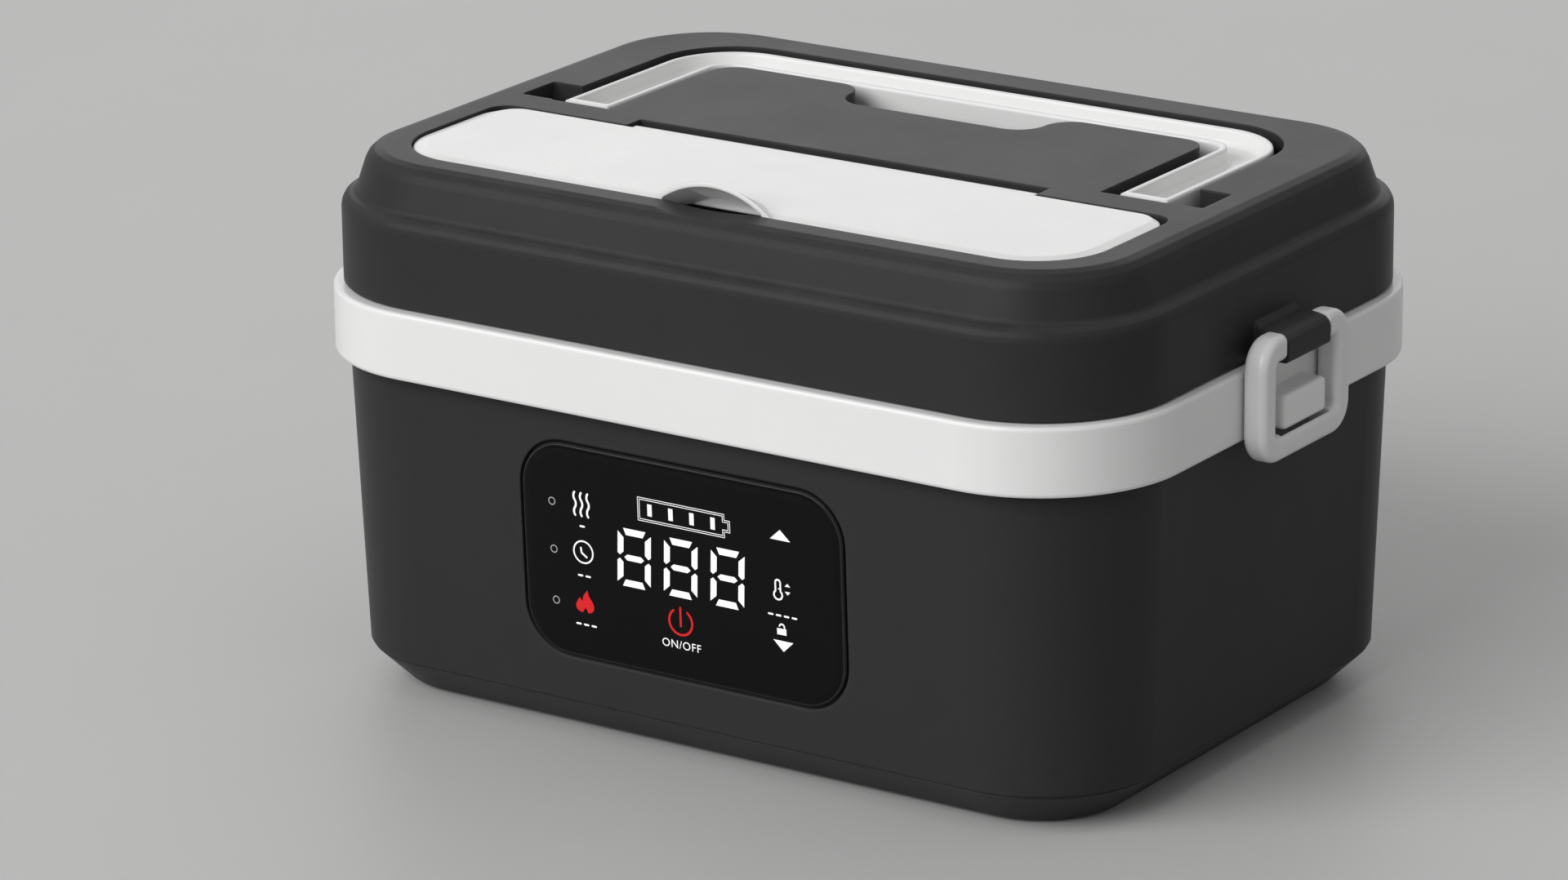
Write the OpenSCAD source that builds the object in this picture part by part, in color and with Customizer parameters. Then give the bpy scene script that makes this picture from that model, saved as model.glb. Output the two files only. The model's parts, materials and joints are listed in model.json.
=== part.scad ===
// Electric lunch box: a drafted lower body with a heated well, battery and touch panel, a light
// collar, and a lift-off lid with two side latches, a folding carry handle and a cutlery compartment.
// Millimetres. Origin: centre of the footprint on the table. X right, Y back, Z up.

/* [Overall size] */
// Width across the collar
body_w = 240; // [200:1:300]
// Depth across the collar
body_d = 175; // [165:1:230]
// Corner radius of the collar in plan
corner_r = 38; // [34:1:46]
// Height of the lower body up to the underside of the collar
body_h = 87.3; // [80:0.1:110]
// Height of the light collar
collar_h = 17.5; // [15:0.1:24]
// Height of the lid above the collar
lid_h = 34.6; // [33:0.1:45]

/* [Shell form] */
// How far the body stands inside the collar, just below it
body_top_inset = 3.8; // [3.6:0.1:5]
// How far the body stands inside the collar at its lower edge
body_low_inset = 6.6; // [5:0.1:9]
// How far the underside stands inside the collar
base_inset = 16; // [12:0.5:18]
// Height of the sloping base band
base_band_h = 10; // [8:0.5:14]
// How far the lid wall stands inside the collar
lid_inset = 2.6; // [2:0.1:4]
// How far the crease above the lid's ledge stands inside the collar
ledge_inset = 5.9; // [5:0.1:8]
// How far the flat deck stands inside the collar
deck_inset = 13.4; // [12:0.1:15]
// Height of the raised deck above the ledge
deck_rise = 11.3; // [10:0.1:14]
// Wall thickness of the plastic mouldings
wall = 2.6; // [2:0.1:3]

/* [Food container] */
// Wall thickness of the steel container
container_wall = 0.8; // [0.6:0.1:1.2]
// Wall thickness of the heated well
well_wall = 0.8; // [0.6:0.1:1.2]
// Height of the well's floor above the table
well_floor_z = 44; // [43:0.5:50]

/* [Carry handle] */
// Width of the handle across its two arms
handle_w = 179; // [150:1:186]
// Width of the handle's channel section
handle_bar = 13.5; // [12:0.1:17]
// Height of the handle's section
handle_h = 9; // [8:0.1:10]
// Thickness of the handle's rims
handle_rim = 2; // [1.6:0.1:2.6]
// Depth of the handle's rims below the deck
handle_drop = 0.55; // [0.3:0.05:2]

/* [Cutlery cover] */
// Width of the cutlery cover
cover_w = 199; // [160:1:200]
// Depth of the cutlery cover
cover_d = 50.2; // [44:0.1:52]
// Radius of the cover's front corners
cover_r = 19.5; // [12:0.5:20]
// Thickness of the cover's plate
cover_t = 3.3; // [2.8:0.1:3.6]
// Height of the finger hood above the cover
hood_h = 6.2; // [4:0.1:7]
// Half width of the finger hood
hood_r = 17; // [12:0.5:20]
// Slope at which the finger hood falls to the back
hood_tilt = 28; // [20:1:40]

/* [Latches] */
// Width of a latch frame
latch_w = 42; // [36:0.5:50]
// Height of a latch frame
latch_h = 31.5; // [30:0.5:36]
// Thickness of a latch frame, out from the body
latch_t = 6.5; // [5.5:0.1:7.5]
// Width of a latch frame's bars
latch_bar = 6.6; // [5.5:0.1:7.5]
// Width of the lid knuckle and of the catch block
knuckle_w = 20.4; // [16:0.2:24]
// Lift of the lid while the latches swing fully open
lid_lift = 50; // [40:1:60]
// Swing of the latches over that lift
latch_swing = 165; // [150:1:170]

/* [Control panel] */
// Width of the black glass panel
panel_w = 94.4; // [80:0.2:110]
// Height of the black glass panel
panel_h = 55.4; // [46:0.2:60]
// Corner radius of the panel
panel_r = 12.5; // [8:0.5:16]
// Thickness of the panel's glass
panel_t = 1.75; // [1.5:0.05:2.1]
// Height of the panel's centre above the table
panel_z = 50.4; // [46:0.2:56]

/* [Battery and boards] */
// Diameter of a battery cell
cell_d = 21.2; // [18:0.1:22]
// Length of a battery cell
cell_len = 70; // [60:1:72]
// Thickness of the circuit boards
board_t = 1.6; // [1:0.1:2]

/* [Fits and hardware] */
// Running gap between parts that move on each other
gap = 0.4; // [0.3:0.05:0.6]
// Gap between parts that rest on each other
seat_gap = 0.3; // [0.1:0.05:0.4]
// Radial clearance of a pin in a hole that turns on it
pin_clear = 0.05; // [0.03:0.01:0.08]
// Radius of the two handle pins
handle_pin_r = 1.25; // [1:0.05:1.5]
// Radius of the cutlery cover's hinge pin
cover_pin_r = 0.9; // [0.7:0.05:1.1]
// Radius of the latch pins
latch_pin_r = 1; // [0.8:0.05:1.3]
// Height that the rubber feet stand below the base
foot_stand = 0.8; // [0.5:0.1:2]
// Radius of a rubber foot
foot_r = 6.5; // [5:0.5:8]

/* [Hidden] */
$fn = 72;

// Colours
graphite = "#3a3a3c";
off_white = "#e6e6e4";
latch_grey = "#c9c9c8";

// Levels
collar_z = body_h;
collar_top = body_h + collar_h;
deck_z = collar_top + lid_h;
ledge_z = deck_z - deck_rise;
lid_z = collar_top + seat_gap;
base_floor = foot_stand + wall;
body_draft = (body_low_inset - body_top_inset) / (body_h - base_band_h);
draft_angle = atan(body_draft);
housing_top = collar_top - 6.4;

// Collar section
skirt_t = body_top_inset - gap;
rebate_inset = 9.8;
rebate_z = collar_top - 3.4;
mouth_inset = 16.6;

// Well and container
well_top_inset = mouth_inset + seat_gap;
well_low_inset = well_top_inset + 3.4;
container_gap = 0.5;
container_top_inset = well_top_inset + well_wall + container_gap;
container_low_inset = well_low_inset + well_wall + container_gap;
container_z = rebate_z + well_wall + 0.1;

// Stack under the well
plate_w = 150; plate_d = 92; plate_t = 1.6;
element_t = 1.2; mat_t = 4; shield_t = 0.8;
plate_z = well_floor_z - plate_t;
element_z = plate_z - element_t;
mat_z = element_z - mat_t;
shield_z = mat_z - shield_t;
sensor_r = 4; sensor_bore = sensor_r + 1;

// Deck features
channel_gap = 2.4; island_gap = 3.4;
channel_w = handle_w + 2 * channel_gap;
handle_r = 19.9;
handle_y0 = -3.5;
handle_y1 = 62;
channel_y0 = -7;
channel_y1 = handle_y1 + channel_gap - 0.1;
island_w = handle_w - 2 * (handle_bar + island_gap);
island_y1 = handle_y1 - handle_bar - island_gap;
handle_top = deck_z - handle_drop;
handle_z = handle_top - handle_h;
handle_floor = 4.6;
channel_floor = handle_z - 0.6;
pivot_y = 1;
pivot_z = handle_z + handle_floor / 2;
swing_r = norm([handle_y0 - pivot_y, handle_top - pivot_z]) + gap;
pocket_w = 9;
pocket_y0 = -6.4;
pocket_y1 = 7.7;
notch_mouth = 37;
notch_bend = 7.8;

// Cutlery compartment
cover_y0 = -67.6;
cover_y1 = cover_y0 + cover_d;
tab_w = 120;
tab_len = 2.2;
slot_y1 = cover_y1 + tab_len + 4.3;
hinge_y = cover_y1 + tab_len + 1;
hinge_z = deck_z - 2.45;
barrel_r = 1.7;
cover_rear_r = 9;
recess_rear_r = 5;
ledge_w = 3;
tray_rim_t = 1.2;
tray_wall = 1.6;
tray_top = deck_z - cover_t - 0.3;
tray_floor = collar_top + 6.8;

// Latches
latch_gap = 0.55;
latch_x = body_w / 2 + latch_gap + latch_t / 2;
latch_top = collar_top + 8.2;
latch_bottom = latch_top - latch_h;
latch_pivot_z = latch_top - latch_bar / 2;
latch_bend = 4.5;
block_x = latch_x + latch_t / 2 - 0.8;
block_h = 8.8;
block_z = latch_bottom + latch_bar + gap;

// Panel: outer face of the drafted front wall at the panel's centre
function wall_y(z) = body_d / 2 - body_top_inset - body_draft * (body_h - z);
panel_rise = 0.65; gasket_t = 0.5;
recess_d = panel_t + gasket_t - panel_rise;
window_w = 84; window_h = 44;
board_depth = 10;
board_post_x = 40; board_post_y = 27;

// Screws and feet
boss_inset = 28; boss_x = body_w / 2 - boss_inset; boss_y = body_d / 2 - boss_inset;
boss_r = 4; screw_r = 1.5; screw_head_r = 3; screw_head_h = 2;
foot_x = body_w / 2 - 46; foot_y = body_d / 2 - 28;
lid_boss_x = body_w / 2 - 8.4; lid_boss_y = body_d / 2 - 41;

// Battery
cell_pitch = cell_d + 0.8;
battery_x = -20;
tray_t = 1.6;
cell_z = base_floor + tray_t + cell_d / 2 + 0.3;

// ---------- shape helpers ----------

// Section through a rounded form, from its corner axis out: points are [inset, z], bottom to top
module form_section(r, pts) {
  polygon(concat([[0, pts[0][1]]], [for (p = pts) [r - p[0], p[1]]], [[0, pts[len(pts) - 1][1]]]));
}

// Sweeps the section in the child round a rounded rectangle of size w by d with corner radius r
module sweep_round(w, d, r) {
  for (k = [0:3]) {
    sx = (k == 0 || k == 3) ? 1 : -1;
    sy = (k < 2) ? 1 : -1;
    translate([sx * (w / 2 - r), sy * (d / 2 - r), 0])
      rotate([0, 0, 90 * k]) rotate_extrude(angle = 90) children();
  }
  for (s = [0, 180]) rotate([0, 0, s]) {
    translate([w / 2 - r, d / 2 - r, 0]) rotate([90, 0, 0])
      linear_extrude(d - 2 * r) children();
    translate([-(w / 2 - r), d / 2 - r, 0]) rotate([90, 0, 90])
      linear_extrude(w - 2 * r) children();
  }
}

// Solid rounded form whose side follows the points [inset, z] from bottom to top
module rounded_form(w, d, r, pts) {
  z0 = pts[0][1];
  z1 = pts[len(pts) - 1][1];
  sweep_round(w, d, r) form_section(r, pts);
  translate([-(w / 2 - r), -(d / 2 - r), z0]) cube([w - 2 * r, d - 2 * r, z1 - z0]);
}

// The same, measured from the collar's outline
module body_form(pts) { rounded_form(body_w, body_d, corner_r, pts); }

// Ring whose section is the closed polygon of points [inset, z]
module body_ring(pts) {
  sweep_round(body_w, body_d, corner_r) polygon([for (p = pts) [corner_r - p[0], p[1]]]);
}

// Flat rounded rectangle from corner to corner, with separate front and rear corner radii
module plan_rect(x0, x1, y0, y1, rf, rr) {
  hx = (x1 - x0) / 2;
  translate([(x0 + x1) / 2, 0]) {
    translate([-hx + max(rf, rr), y0]) square([2 * hx - 2 * max(rf, rr), y1 - y0]);
    translate([-hx, y0 + rf]) square([2 * hx, y1 - y0 - rf - rr]);
    for (s = [-1, 1]) {
      if (rf > 0) translate([s * (hx - rf), y0 + rf]) circle(rf);
      if (rr > 0) translate([s * (hx - rr), y1 - rr]) circle(rr);
      if (rf > rr) translate([s * (hx - rf / 2 - rr / 2) - (rf - rr) / 2, y1 - rf])
        square([rf - rr, rf]);
      if (rr > rf) translate([s * (hx - rf / 2 - rr / 2) - (rr - rf) / 2, y0])
        square([rr - rf, rr]);
    }
  }
}

// Slab between two heights, on a plan rectangle
module plan_slab(z0, z1, x0, x1, y0, y1, rf, rr) {
  translate([0, 0, z0]) linear_extrude(z1 - z0) plan_rect(x0, x1, y0, y1, rf, rr);
}

// Cylinder along X between two places
module x_rod(r, x0, x1, y, z) {
  translate([x0, y, z]) rotate([0, 90, 0]) cylinder(r = r, h = x1 - x0);
}

// Cylinder along Y between two places
module y_rod(r, y0, y1, x, z) {
  translate([x, y0, z]) rotate([-90, 0, 0]) cylinder(r = r, h = y1 - y0);
}

// Places the child on the drafted front wall: x right, y up the wall, z out of it
module on_front(z) {
  translate([0, -wall_y(z), z]) rotate([90 + draft_angle, 0, 0]) children();
}

// Places the child on the drafted rear wall at x: z out of it
module on_rear(x, z) {
  translate([x, wall_y(z), z]) rotate([-90 - draft_angle, 0, 0]) children();
}

module at_corners(x, y) {
  for (sx = [-1, 1], sy = [-1, 1]) translate([sx * x, sy * y, 0]) children();
}

// ---------- lower body ----------

module outer_housing() {
  web_len = corner_r - body_low_inset - wall / 3 - sqrt(2) * (corner_r - boss_inset) - boss_r / 2;
  color(graphite) difference() {
    union() {
      difference() {
        body_form([[body_low_inset + 0.5, base_band_h], [body_low_inset, base_band_h + 0.6],
          [body_top_inset, body_h], [body_top_inset, housing_top]]);
        body_form([[body_low_inset + wall, base_band_h - 1],
          [body_top_inset + wall, body_h], [body_top_inset + wall, housing_top + 1]]);
      }
      // Screw bosses with webs to the corners
      at_corners(boss_x, boss_y) translate([0, 0, base_band_h + 3]) cylinder(r = boss_r, h = 22);
      for (sx = [-1, 1], sy = [-1, 1]) translate([sx * boss_x, sy * boss_y, base_band_h + 3])
        rotate([0, 0, atan2(sy, sx)]) translate([boss_r / 2, -1, 0]) cube([web_len, 2, 22]);
      // Frame behind the panel and its four board posts
      on_front(panel_z) translate([0, 0, -wall - 1.6]) linear_extrude(3) difference() {
        plan_rect(-window_w / 2 - 3, window_w / 2 + 3, -window_h / 2 - 3, window_h / 2 + 3, 6, 6);
        plan_rect(-window_w / 2, window_w / 2, -window_h / 2, window_h / 2, 4, 4);
      }
      on_front(panel_z) for (sx = [-1, 1], sy = [-1, 1])
        translate([sx * board_post_x, sy * board_post_y, -board_depth])
          cylinder(r = 2.6, h = board_depth - 1.5);
    }
    // Recess for the glass, and the window behind it
    on_front(panel_z) translate([0, 0, -recess_d]) linear_extrude(10)
      plan_rect(-panel_w / 2 - 0.8, panel_w / 2 + 0.8, -panel_h / 2 - 0.8, panel_h / 2 + 0.8,
        panel_r + 0.8, panel_r + 0.8);
    on_front(panel_z) translate([0, 0, -12]) linear_extrude(20)
      plan_rect(-window_w / 2, window_w / 2, -window_h / 2, window_h / 2, 4, 4);
    // Screw holes
    at_corners(boss_x, boss_y) translate([0, 0, base_band_h]) cylinder(r = screw_r, h = 20);
    // Charging inlet
    on_rear(socket_x, socket_z) translate([0, 0, -12]) cylinder(r = socket_r + 0.1, h = 24);
    on_rear(socket_x, socket_z) translate([0, 0, -socket_sink]) cylinder(r = flange_r + 0.3, h = 12);
  }
}

module base_cover() {
  color(graphite) difference() {
    union() {
      difference() {
        union() {
          body_form([[base_inset + 0.8, foot_stand], [base_inset - 0.2, foot_stand + 0.4],
            [body_low_inset + 0.6, base_band_h - 0.4], [body_low_inset + 0.9, base_band_h]]);
          body_form([[body_low_inset + wall + gap, base_band_h],
            [body_low_inset + wall + gap, base_band_h + 2.4]]);
        }
        body_form([[base_inset + 2.6, base_floor], [body_low_inset + wall + gap + 1.8, base_band_h],
          [body_low_inset + wall + gap + 1.8, base_band_h + 4]]);
      }
      // Screw pillars
      at_corners(boss_x, boss_y) translate([0, 0, foot_stand + 1])
        cylinder(r = 5.4, h = base_band_h + 1 - foot_stand);
      // Standoffs of the main board
      at_board_posts() translate([0, 0, foot_stand + 1]) cylinder(r = 2.6, h = board_z - foot_stand - 1);
    }
    at_corners(boss_x, boss_y) {
      translate([0, 0, -1]) cylinder(r = screw_r + 0.3, h = 20);
      translate([0, 0, -1]) cylinder(r = screw_head_r + 0.5, h = foot_stand + 1 + 3.6);
    }
    at_corners(foot_x, foot_y) translate([0, 0, -1]) cylinder(r = foot_r + 0.2, h = foot_stand + 1 + 1);
  }
}

module rubber_feet() {
  color("#1c1c1e") at_corners(foot_x, foot_y) rotate_extrude()
    polygon([[0, 0], [foot_r - 1.2, 0], [foot_r - 0.4, 0.5], [foot_r, foot_stand + 0.2],
      [foot_r, foot_stand + 1], [0, foot_stand + 1]]);
}

module base_screws() {
  head_z = foot_stand + 3.6;
  color("#8d9094") at_corners(boss_x, boss_y) difference() {
    rotate_extrude() polygon([[0, head_z - screw_head_h], [screw_head_r - 0.6, head_z - screw_head_h],
      [screw_head_r, head_z - screw_head_h + 0.7], [screw_head_r, head_z], [screw_r - 0.05, head_z],
      [screw_r - 0.05, head_z + 19], [0.4, head_z + 21], [0, head_z + 21]]);
    // Cross recess
    for (a = [0, 90]) rotate([0, 0, a])
      translate([-1.7, -0.4, head_z - screw_head_h - 1]) cube([3.4, 0.8, 2]);
  }
}

module collar_ring() {
  edge = 0.9;
  color(off_white) {
    body_ring([[edge, collar_z], [0.25, collar_z + 0.25], [0, collar_z + edge],
      [0, collar_top - edge], [0.25, collar_top - 0.25], [edge, collar_top],
      [rebate_inset, collar_top], [rebate_inset, rebate_z], [mouth_inset, rebate_z],
      [mouth_inset, housing_top], [body_top_inset + wall + gap + 2, housing_top],
      [body_top_inset + wall + gap + 2, housing_top - 4.4],
      [body_top_inset + wall + gap, housing_top - 4.4], [body_top_inset + wall + gap, housing_top],
      [skirt_t, housing_top], [skirt_t, collar_z]]);
    for (s = [0, 180]) rotate([0, 0, s]) catch_block();
  }
}

// Block that the latch frame hooks under
module catch_block() {
  depth = block_x - body_w / 2;
  translate([body_w / 2 - 1, 0, block_z + block_h / 2]) rotate([90, 0, 90])
    rounded_form(knuckle_w, block_h, 1.6, [[0, 0], [0, depth], [0.3, depth + 0.7], [1, depth + 1]]);
}

module heated_well() {
  color("#b9bcc0") {
    difference() {
      union() {
        body_form([[well_low_inset + 4, well_floor_z], [well_low_inset + 1.2, well_floor_z + 0.9],
          [well_low_inset, well_floor_z + 4], [well_top_inset, rebate_z + 0.1]]);
        body_form([[rebate_inset + gap, rebate_z], [rebate_inset + gap, rebate_z + well_wall]]);
      }
      body_form([[well_low_inset + 4, well_floor_z + well_wall],
        [well_low_inset + 1.2 + well_wall * 0.8, well_floor_z + 0.8 + well_wall],
        [well_low_inset + well_wall, well_floor_z + 4], [well_top_inset + well_wall, rebate_z + 0.1],
        [well_top_inset + well_wall, rebate_z + 2]]);
    }
  }
}

module heating_plate() {
  color("#c8cacc") difference() {
    plan_slab(plate_z, well_floor_z, -plate_w / 2, plate_w / 2, -plate_d / 2, plate_d / 2, 14, 14);
    translate([0, 0, plate_z - 1]) cylinder(r = sensor_bore, h = 10);
  }
}

// Flat foil heater that winds to and fro over the plate
module heating_element() {
  runs = 7;
  strip = 6;
  pitch = (plate_d - 12) / runs;
  len = plate_w / 2 - 18;
  color("#b5651d") for (s = [0, 180]) rotate([0, 0, s]) translate([0, 0, element_z])
    linear_extrude(element_t) {
      for (i = [0:runs - 1]) translate([9, -plate_d / 2 + 8 + i * pitch]) square([len, strip]);
      for (i = [0:runs - 2]) translate([i % 2 == 0 ? 3 + len : 9, -plate_d / 2 + 8 + i * pitch])
        square([strip, pitch + strip]);
    }
}

module insulation_mat() {
  color("#d8d2bf") difference() {
    plan_slab(mat_z, element_z, -plate_w / 2, plate_w / 2, -plate_d / 2, plate_d / 2, 12, 12);
    translate([0, 0, mat_z - 1]) cylinder(r = sensor_bore, h = 10);
    translate([-16, -6, mat_z - 1]) cube([8, 16, 10]);
  }
}

module heat_shield() {
  color("#a9adb1") difference() {
    plan_slab(shield_z, mat_z, -plate_w / 2 - 4, plate_w / 2 + 4, -plate_d / 2 - 4, plate_d / 2 + 4,
      12, 12);
    for (p = shield_posts) translate([p[0], p[1], shield_z - 1]) cylinder(r = 1.2, h = 4);
  }
}

module temperature_sensor() {
  color("#caccd0") {
    translate([0, 0, mat_z]) cylinder(r = sensor_r, h = well_floor_z - mat_z - 0.1);
    translate([0, 0, mat_z]) cylinder(r = sensor_bore - 0.2, h = 0.8);
  }
}

module thermal_fuse() {
  color("#dcdcd8") {
    y_rod(1.8, -4.5, 8.5, -12, element_z - 2);
    y_rod(0.5, -5.6, 9.6, -12, element_z - 2);
  }
}

// ---------- battery and electronics ----------

battery_w = 2 * cell_len + 6;
battery_d = 3 * cell_pitch + 1;
// Posts beside the battery that carry the heat shield
shield_posts = [for (sx = [-1, 1], sy = [-1, 1])
  [battery_x + sx * (battery_w / 2 - 8), sy * (battery_d / 2 + 6)]];

module battery_tray() {
  x0 = battery_x - battery_w / 2 - tray_t;
  color("#2a2a2c") difference() {
    union() {
      translate([x0, -battery_d / 2 - tray_t, base_floor])
        cube([battery_w + 2 * tray_t, battery_d + 2 * tray_t, 14]);
      for (p = shield_posts) translate([p[0], p[1], base_floor])
        cylinder(r = 3.2, h = shield_z - base_floor);
      for (p = shield_posts) translate([p[0] - 1, min(p[1], p[1] - sign(p[1]) * 7), base_floor])
        cube([2, 7, 14]);
    }
    translate([x0 + tray_t, -battery_d / 2, base_floor + tray_t]) cube([battery_w, battery_d, 30]);
    for (p = shield_posts) translate([p[0], p[1], shield_z - 8]) cylinder(r = 1.1, h = 10);
  }
}

module battery_cells() {
  color("#2f6fa8") for (col = [-1, 1], row = [-1:1])
    translate([battery_x + col * (cell_len / 2 + 0.6) - cell_len / 2, row * cell_pitch, cell_z])
      rotate([0, 90, 0]) rotate_extrude() polygon([[0, 0], [cell_d / 2 - 0.8, 0], [cell_d / 2, 0.8],
        [cell_d / 2, cell_len - 2.6], [cell_d / 2 - 0.8, cell_len - 1.8], [4.5, cell_len - 1.8],
        [4.5, cell_len - 0.4], [0, cell_len - 0.4]]);
}

module cell_links() {
  strip_t = 0.6;
  strip_h = cell_d * 0.4;
  color("#c4c6c8") for (s = [-1, 0, 1])
    translate([battery_x + s * (cell_len + 1.05) - strip_t / 2, -cell_pitch - 4, cell_z - strip_h / 2])
      cube([strip_t, 2 * cell_pitch + 8, strip_h]);
}

board_x0 = battery_x + battery_w / 2 + tray_t + 3;
main_w = 38; main_d = 92; board_z = base_floor + 5;
module at_board_posts() {
  for (x = [4, main_w - 4], y = [-main_d / 2 + 4, main_d / 2 - 4])
    translate([board_x0 + x, y, 0]) children();
}

module main_board() {
  color("#1f6b3a") difference() {
    translate([board_x0, -main_d / 2, board_z]) cube([main_w, main_d, board_t]);
    at_board_posts() translate([0, 0, board_z - 1]) cylinder(r = 1.5, h = 4);
  }
}

module board_components() {
  top = board_z + board_t;
  // Round capacitors: [x, y, radius, height]
  cans = [[12, -28, 5, 13], [24, -28, 5, 13], [12, -14, 4, 11]];
  // Boxes: [x, y, width, depth, height]
  blocks = [[22, -6, 10, 14, 9], [8, 6, 12, 12, 6], [24, 14, 7, 7, 1.4], [10, 26, 18, 8, 5],
    [8, 37, 10, 5, 7]];
  color("#303338") {
    for (c = cans) translate([board_x0 + c[0], c[1], top]) cylinder(r = c[2], h = c[3]);
    for (b = blocks) translate([board_x0 + b[0], b[1], top]) cube([b[2], b[3], b[4]]);
  }
}

module display_board() {
  color("#1f6b3a") on_front(panel_z) translate([0, 0, -board_depth - board_t]) difference() {
    linear_extrude(board_t) plan_rect(-45, 45, -31, 31, 3, 3);
    for (sx = [-1, 1], sy = [-1, 1])
      translate([sx * board_post_x, sy * board_post_y, -1]) cylinder(r = 1.2, h = 4);
  }
}

module led_display() {
  color("#e8e8e8") on_front(panel_z) translate([0, 0, -board_depth])
    linear_extrude(board_depth - recess_d - 0.9) plan_rect(-24, 24, -14, 22, 2, 2);
}

module control_panel() {
  rise = panel_rise - 0.15;
  back = gasket_t - recess_d;
  color("#0c0c0d") on_front(panel_z) rounded_form(panel_w, panel_h, panel_r,
    [[0, back], [0, rise - 0.7], [0.35, rise - 0.25], [1.3, rise], [2.4, panel_rise]]);
}

module panel_gasket() {
  w = panel_w / 2 - 0.6;
  h = panel_h / 2 - 0.6;
  color("#222222") on_front(panel_z) translate([0, 0, -recess_d]) linear_extrude(gasket_t) difference() {
    plan_rect(-w, w, -h, h, panel_r - 1, panel_r - 1);
    plan_rect(-window_w / 2 - 0.5, window_w / 2 + 0.5, -window_h / 2 - 0.5, window_h / 2 + 0.5, 4, 4);
  }
}

// Round charging inlet in the rear wall, held from inside by a ring nut
socket_r = 5; socket_len = 14; socket_sink = 0.9; flange_r = 7.5;
socket_x = body_w / 2 - corner_r - flange_r - 2.5; socket_z = 26;
module charge_socket() {
  color("#151517") on_rear(socket_x, socket_z) difference() {
    rotate_extrude() polygon([[0, -socket_len], [socket_r, -socket_len], [socket_r, -socket_sink],
      [flange_r, -socket_sink], [flange_r, 0.1], [flange_r - 0.5, 0.6], [0, 0.6]]);
    difference() {
      translate([0, 0, -10]) cylinder(r = 2.75, h = 12);
      translate([0, 0, -11]) cylinder(r = 1, h = 10);
    }
  }
}

module socket_nut() {
  color("#9a9da1") on_rear(socket_x, socket_z) translate([0, 0, -wall - 2.6]) difference() {
    cylinder(r = 8, h = 2.5, $fn = 6);
    translate([0, 0, -1]) cylinder(r = socket_r + 0.1, h = 5);
  }
}

// ---------- food container ----------

module food_container() {
  floor_z = well_floor_z + well_wall + container_gap;
  lip = rebate_inset + gap;
  color("#cfd1d3") difference() {
    union() {
      body_form([[container_low_inset + 5, floor_z], [container_low_inset + 1.6, floor_z + 1],
        [container_low_inset, floor_z + 4.5], [container_top_inset, container_z + 0.2],
        [container_top_inset, container_z + container_wall]]);
      // Flange with a rolled rim
      body_form([[lip + 1, container_z], [lip + 1, container_z + container_wall]]);
      body_ring([[lip + 0.4, container_z], [lip, container_z + 0.4], [lip, container_z + 1.1],
        [lip + 0.4, container_z + 1.5], [lip + 1.2, container_z + 1.5], [lip + 1.6, container_z + 1.1],
        [lip + 1.6, container_z]]);
    }
    body_form([[container_low_inset + 5, floor_z + container_wall],
      [container_low_inset + 1.6 + container_wall * 0.8, floor_z + 0.9 + container_wall],
      [container_low_inset + container_wall, floor_z + 4.5],
      [container_top_inset + container_wall, container_z],
      [container_top_inset + container_wall, container_z + 3]]);
  }
}

// ---------- lid ----------

// Plan of the handle channel, grown by g, with its pockets beside the arms' ends
module channel_plan(g) {
  difference() {
    union() {
      plan_rect(-channel_w / 2 - g, channel_w / 2 + g, channel_y0 - g, channel_y1 + g,
        1.5 + g, handle_r + channel_gap - 0.5 + g);
      plan_rect(-channel_w / 2 - pocket_w - g, channel_w / 2 + pocket_w + g,
        pocket_y0 - g, pocket_y1 + g, 1, 1);
    }
    island_plan(-g);
  }
}

// Plan of the island inside the handle, with the finger notch in its rear edge
module island_plan(g) {
  difference() {
    plan_rect(-island_w / 2 - g, island_w / 2 + g, channel_y0 - 20, island_y1 + g, 0, 7 + g);
    finger_notch(-g);
  }
}

// Notch with an S-shaped flank on each side: a round fillet in, and a round edge out
module finger_notch(g) {
  bend_y = island_y1 - notch_bend;
  mid = notch_mouth - notch_bend;
  low = notch_mouth - 2 * notch_bend;
  translate([-mid - g, bend_y]) square([2 * (mid + g), notch_bend + 5]);
  translate([-low, bend_y - notch_bend - g]) square([2 * low, 2 * notch_bend]);
  for (s = [-1, 1]) {
    translate([s * low, bend_y]) circle(notch_bend + g);
    difference() {
      translate([s * (mid + g + notch_bend / 2) - notch_bend / 2, bend_y])
        square([notch_bend, notch_bend + 5]);
      translate([s * notch_mouth, bend_y]) circle(notch_bend - g);
    }
  }
}

// Plan of the cutlery cover, grown by g; the recess round it has tighter rear corners, which the
// cover's rear edge needs to roll over the deck
module cover_plan(g, rear_r = cover_rear_r) {
  plan_rect(-cover_w / 2 - g, cover_w / 2 + g, cover_y0 - g, cover_y1 + g, cover_r + g, rear_r + g);
}

lid_outer_pts = [
  [lid_inset + 0.5, lid_z], [lid_inset, lid_z + 0.5], [lid_inset, ledge_z - 3.6],
  [lid_inset + 0.25, ledge_z - 2.4], [lid_inset + 0.9, ledge_z - 1.2], [lid_inset + 2, ledge_z - 0.4],
  [ledge_inset, ledge_z], [ledge_inset + 0.55, ledge_z + 0.7], [deck_inset - 4.6, deck_z - 3.6],
  [deck_inset - 3.7, deck_z - 1.9], [deck_inset - 2.2, deck_z - 0.6], [deck_inset, deck_z]
];
lid_inner_pts = [
  [lid_inset + wall, lid_z - 1], [lid_inset + wall, ledge_z - 2.8], [ledge_inset + wall, ledge_z - 1.4],
  [deck_inset - 2, deck_z - wall]
];

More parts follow.
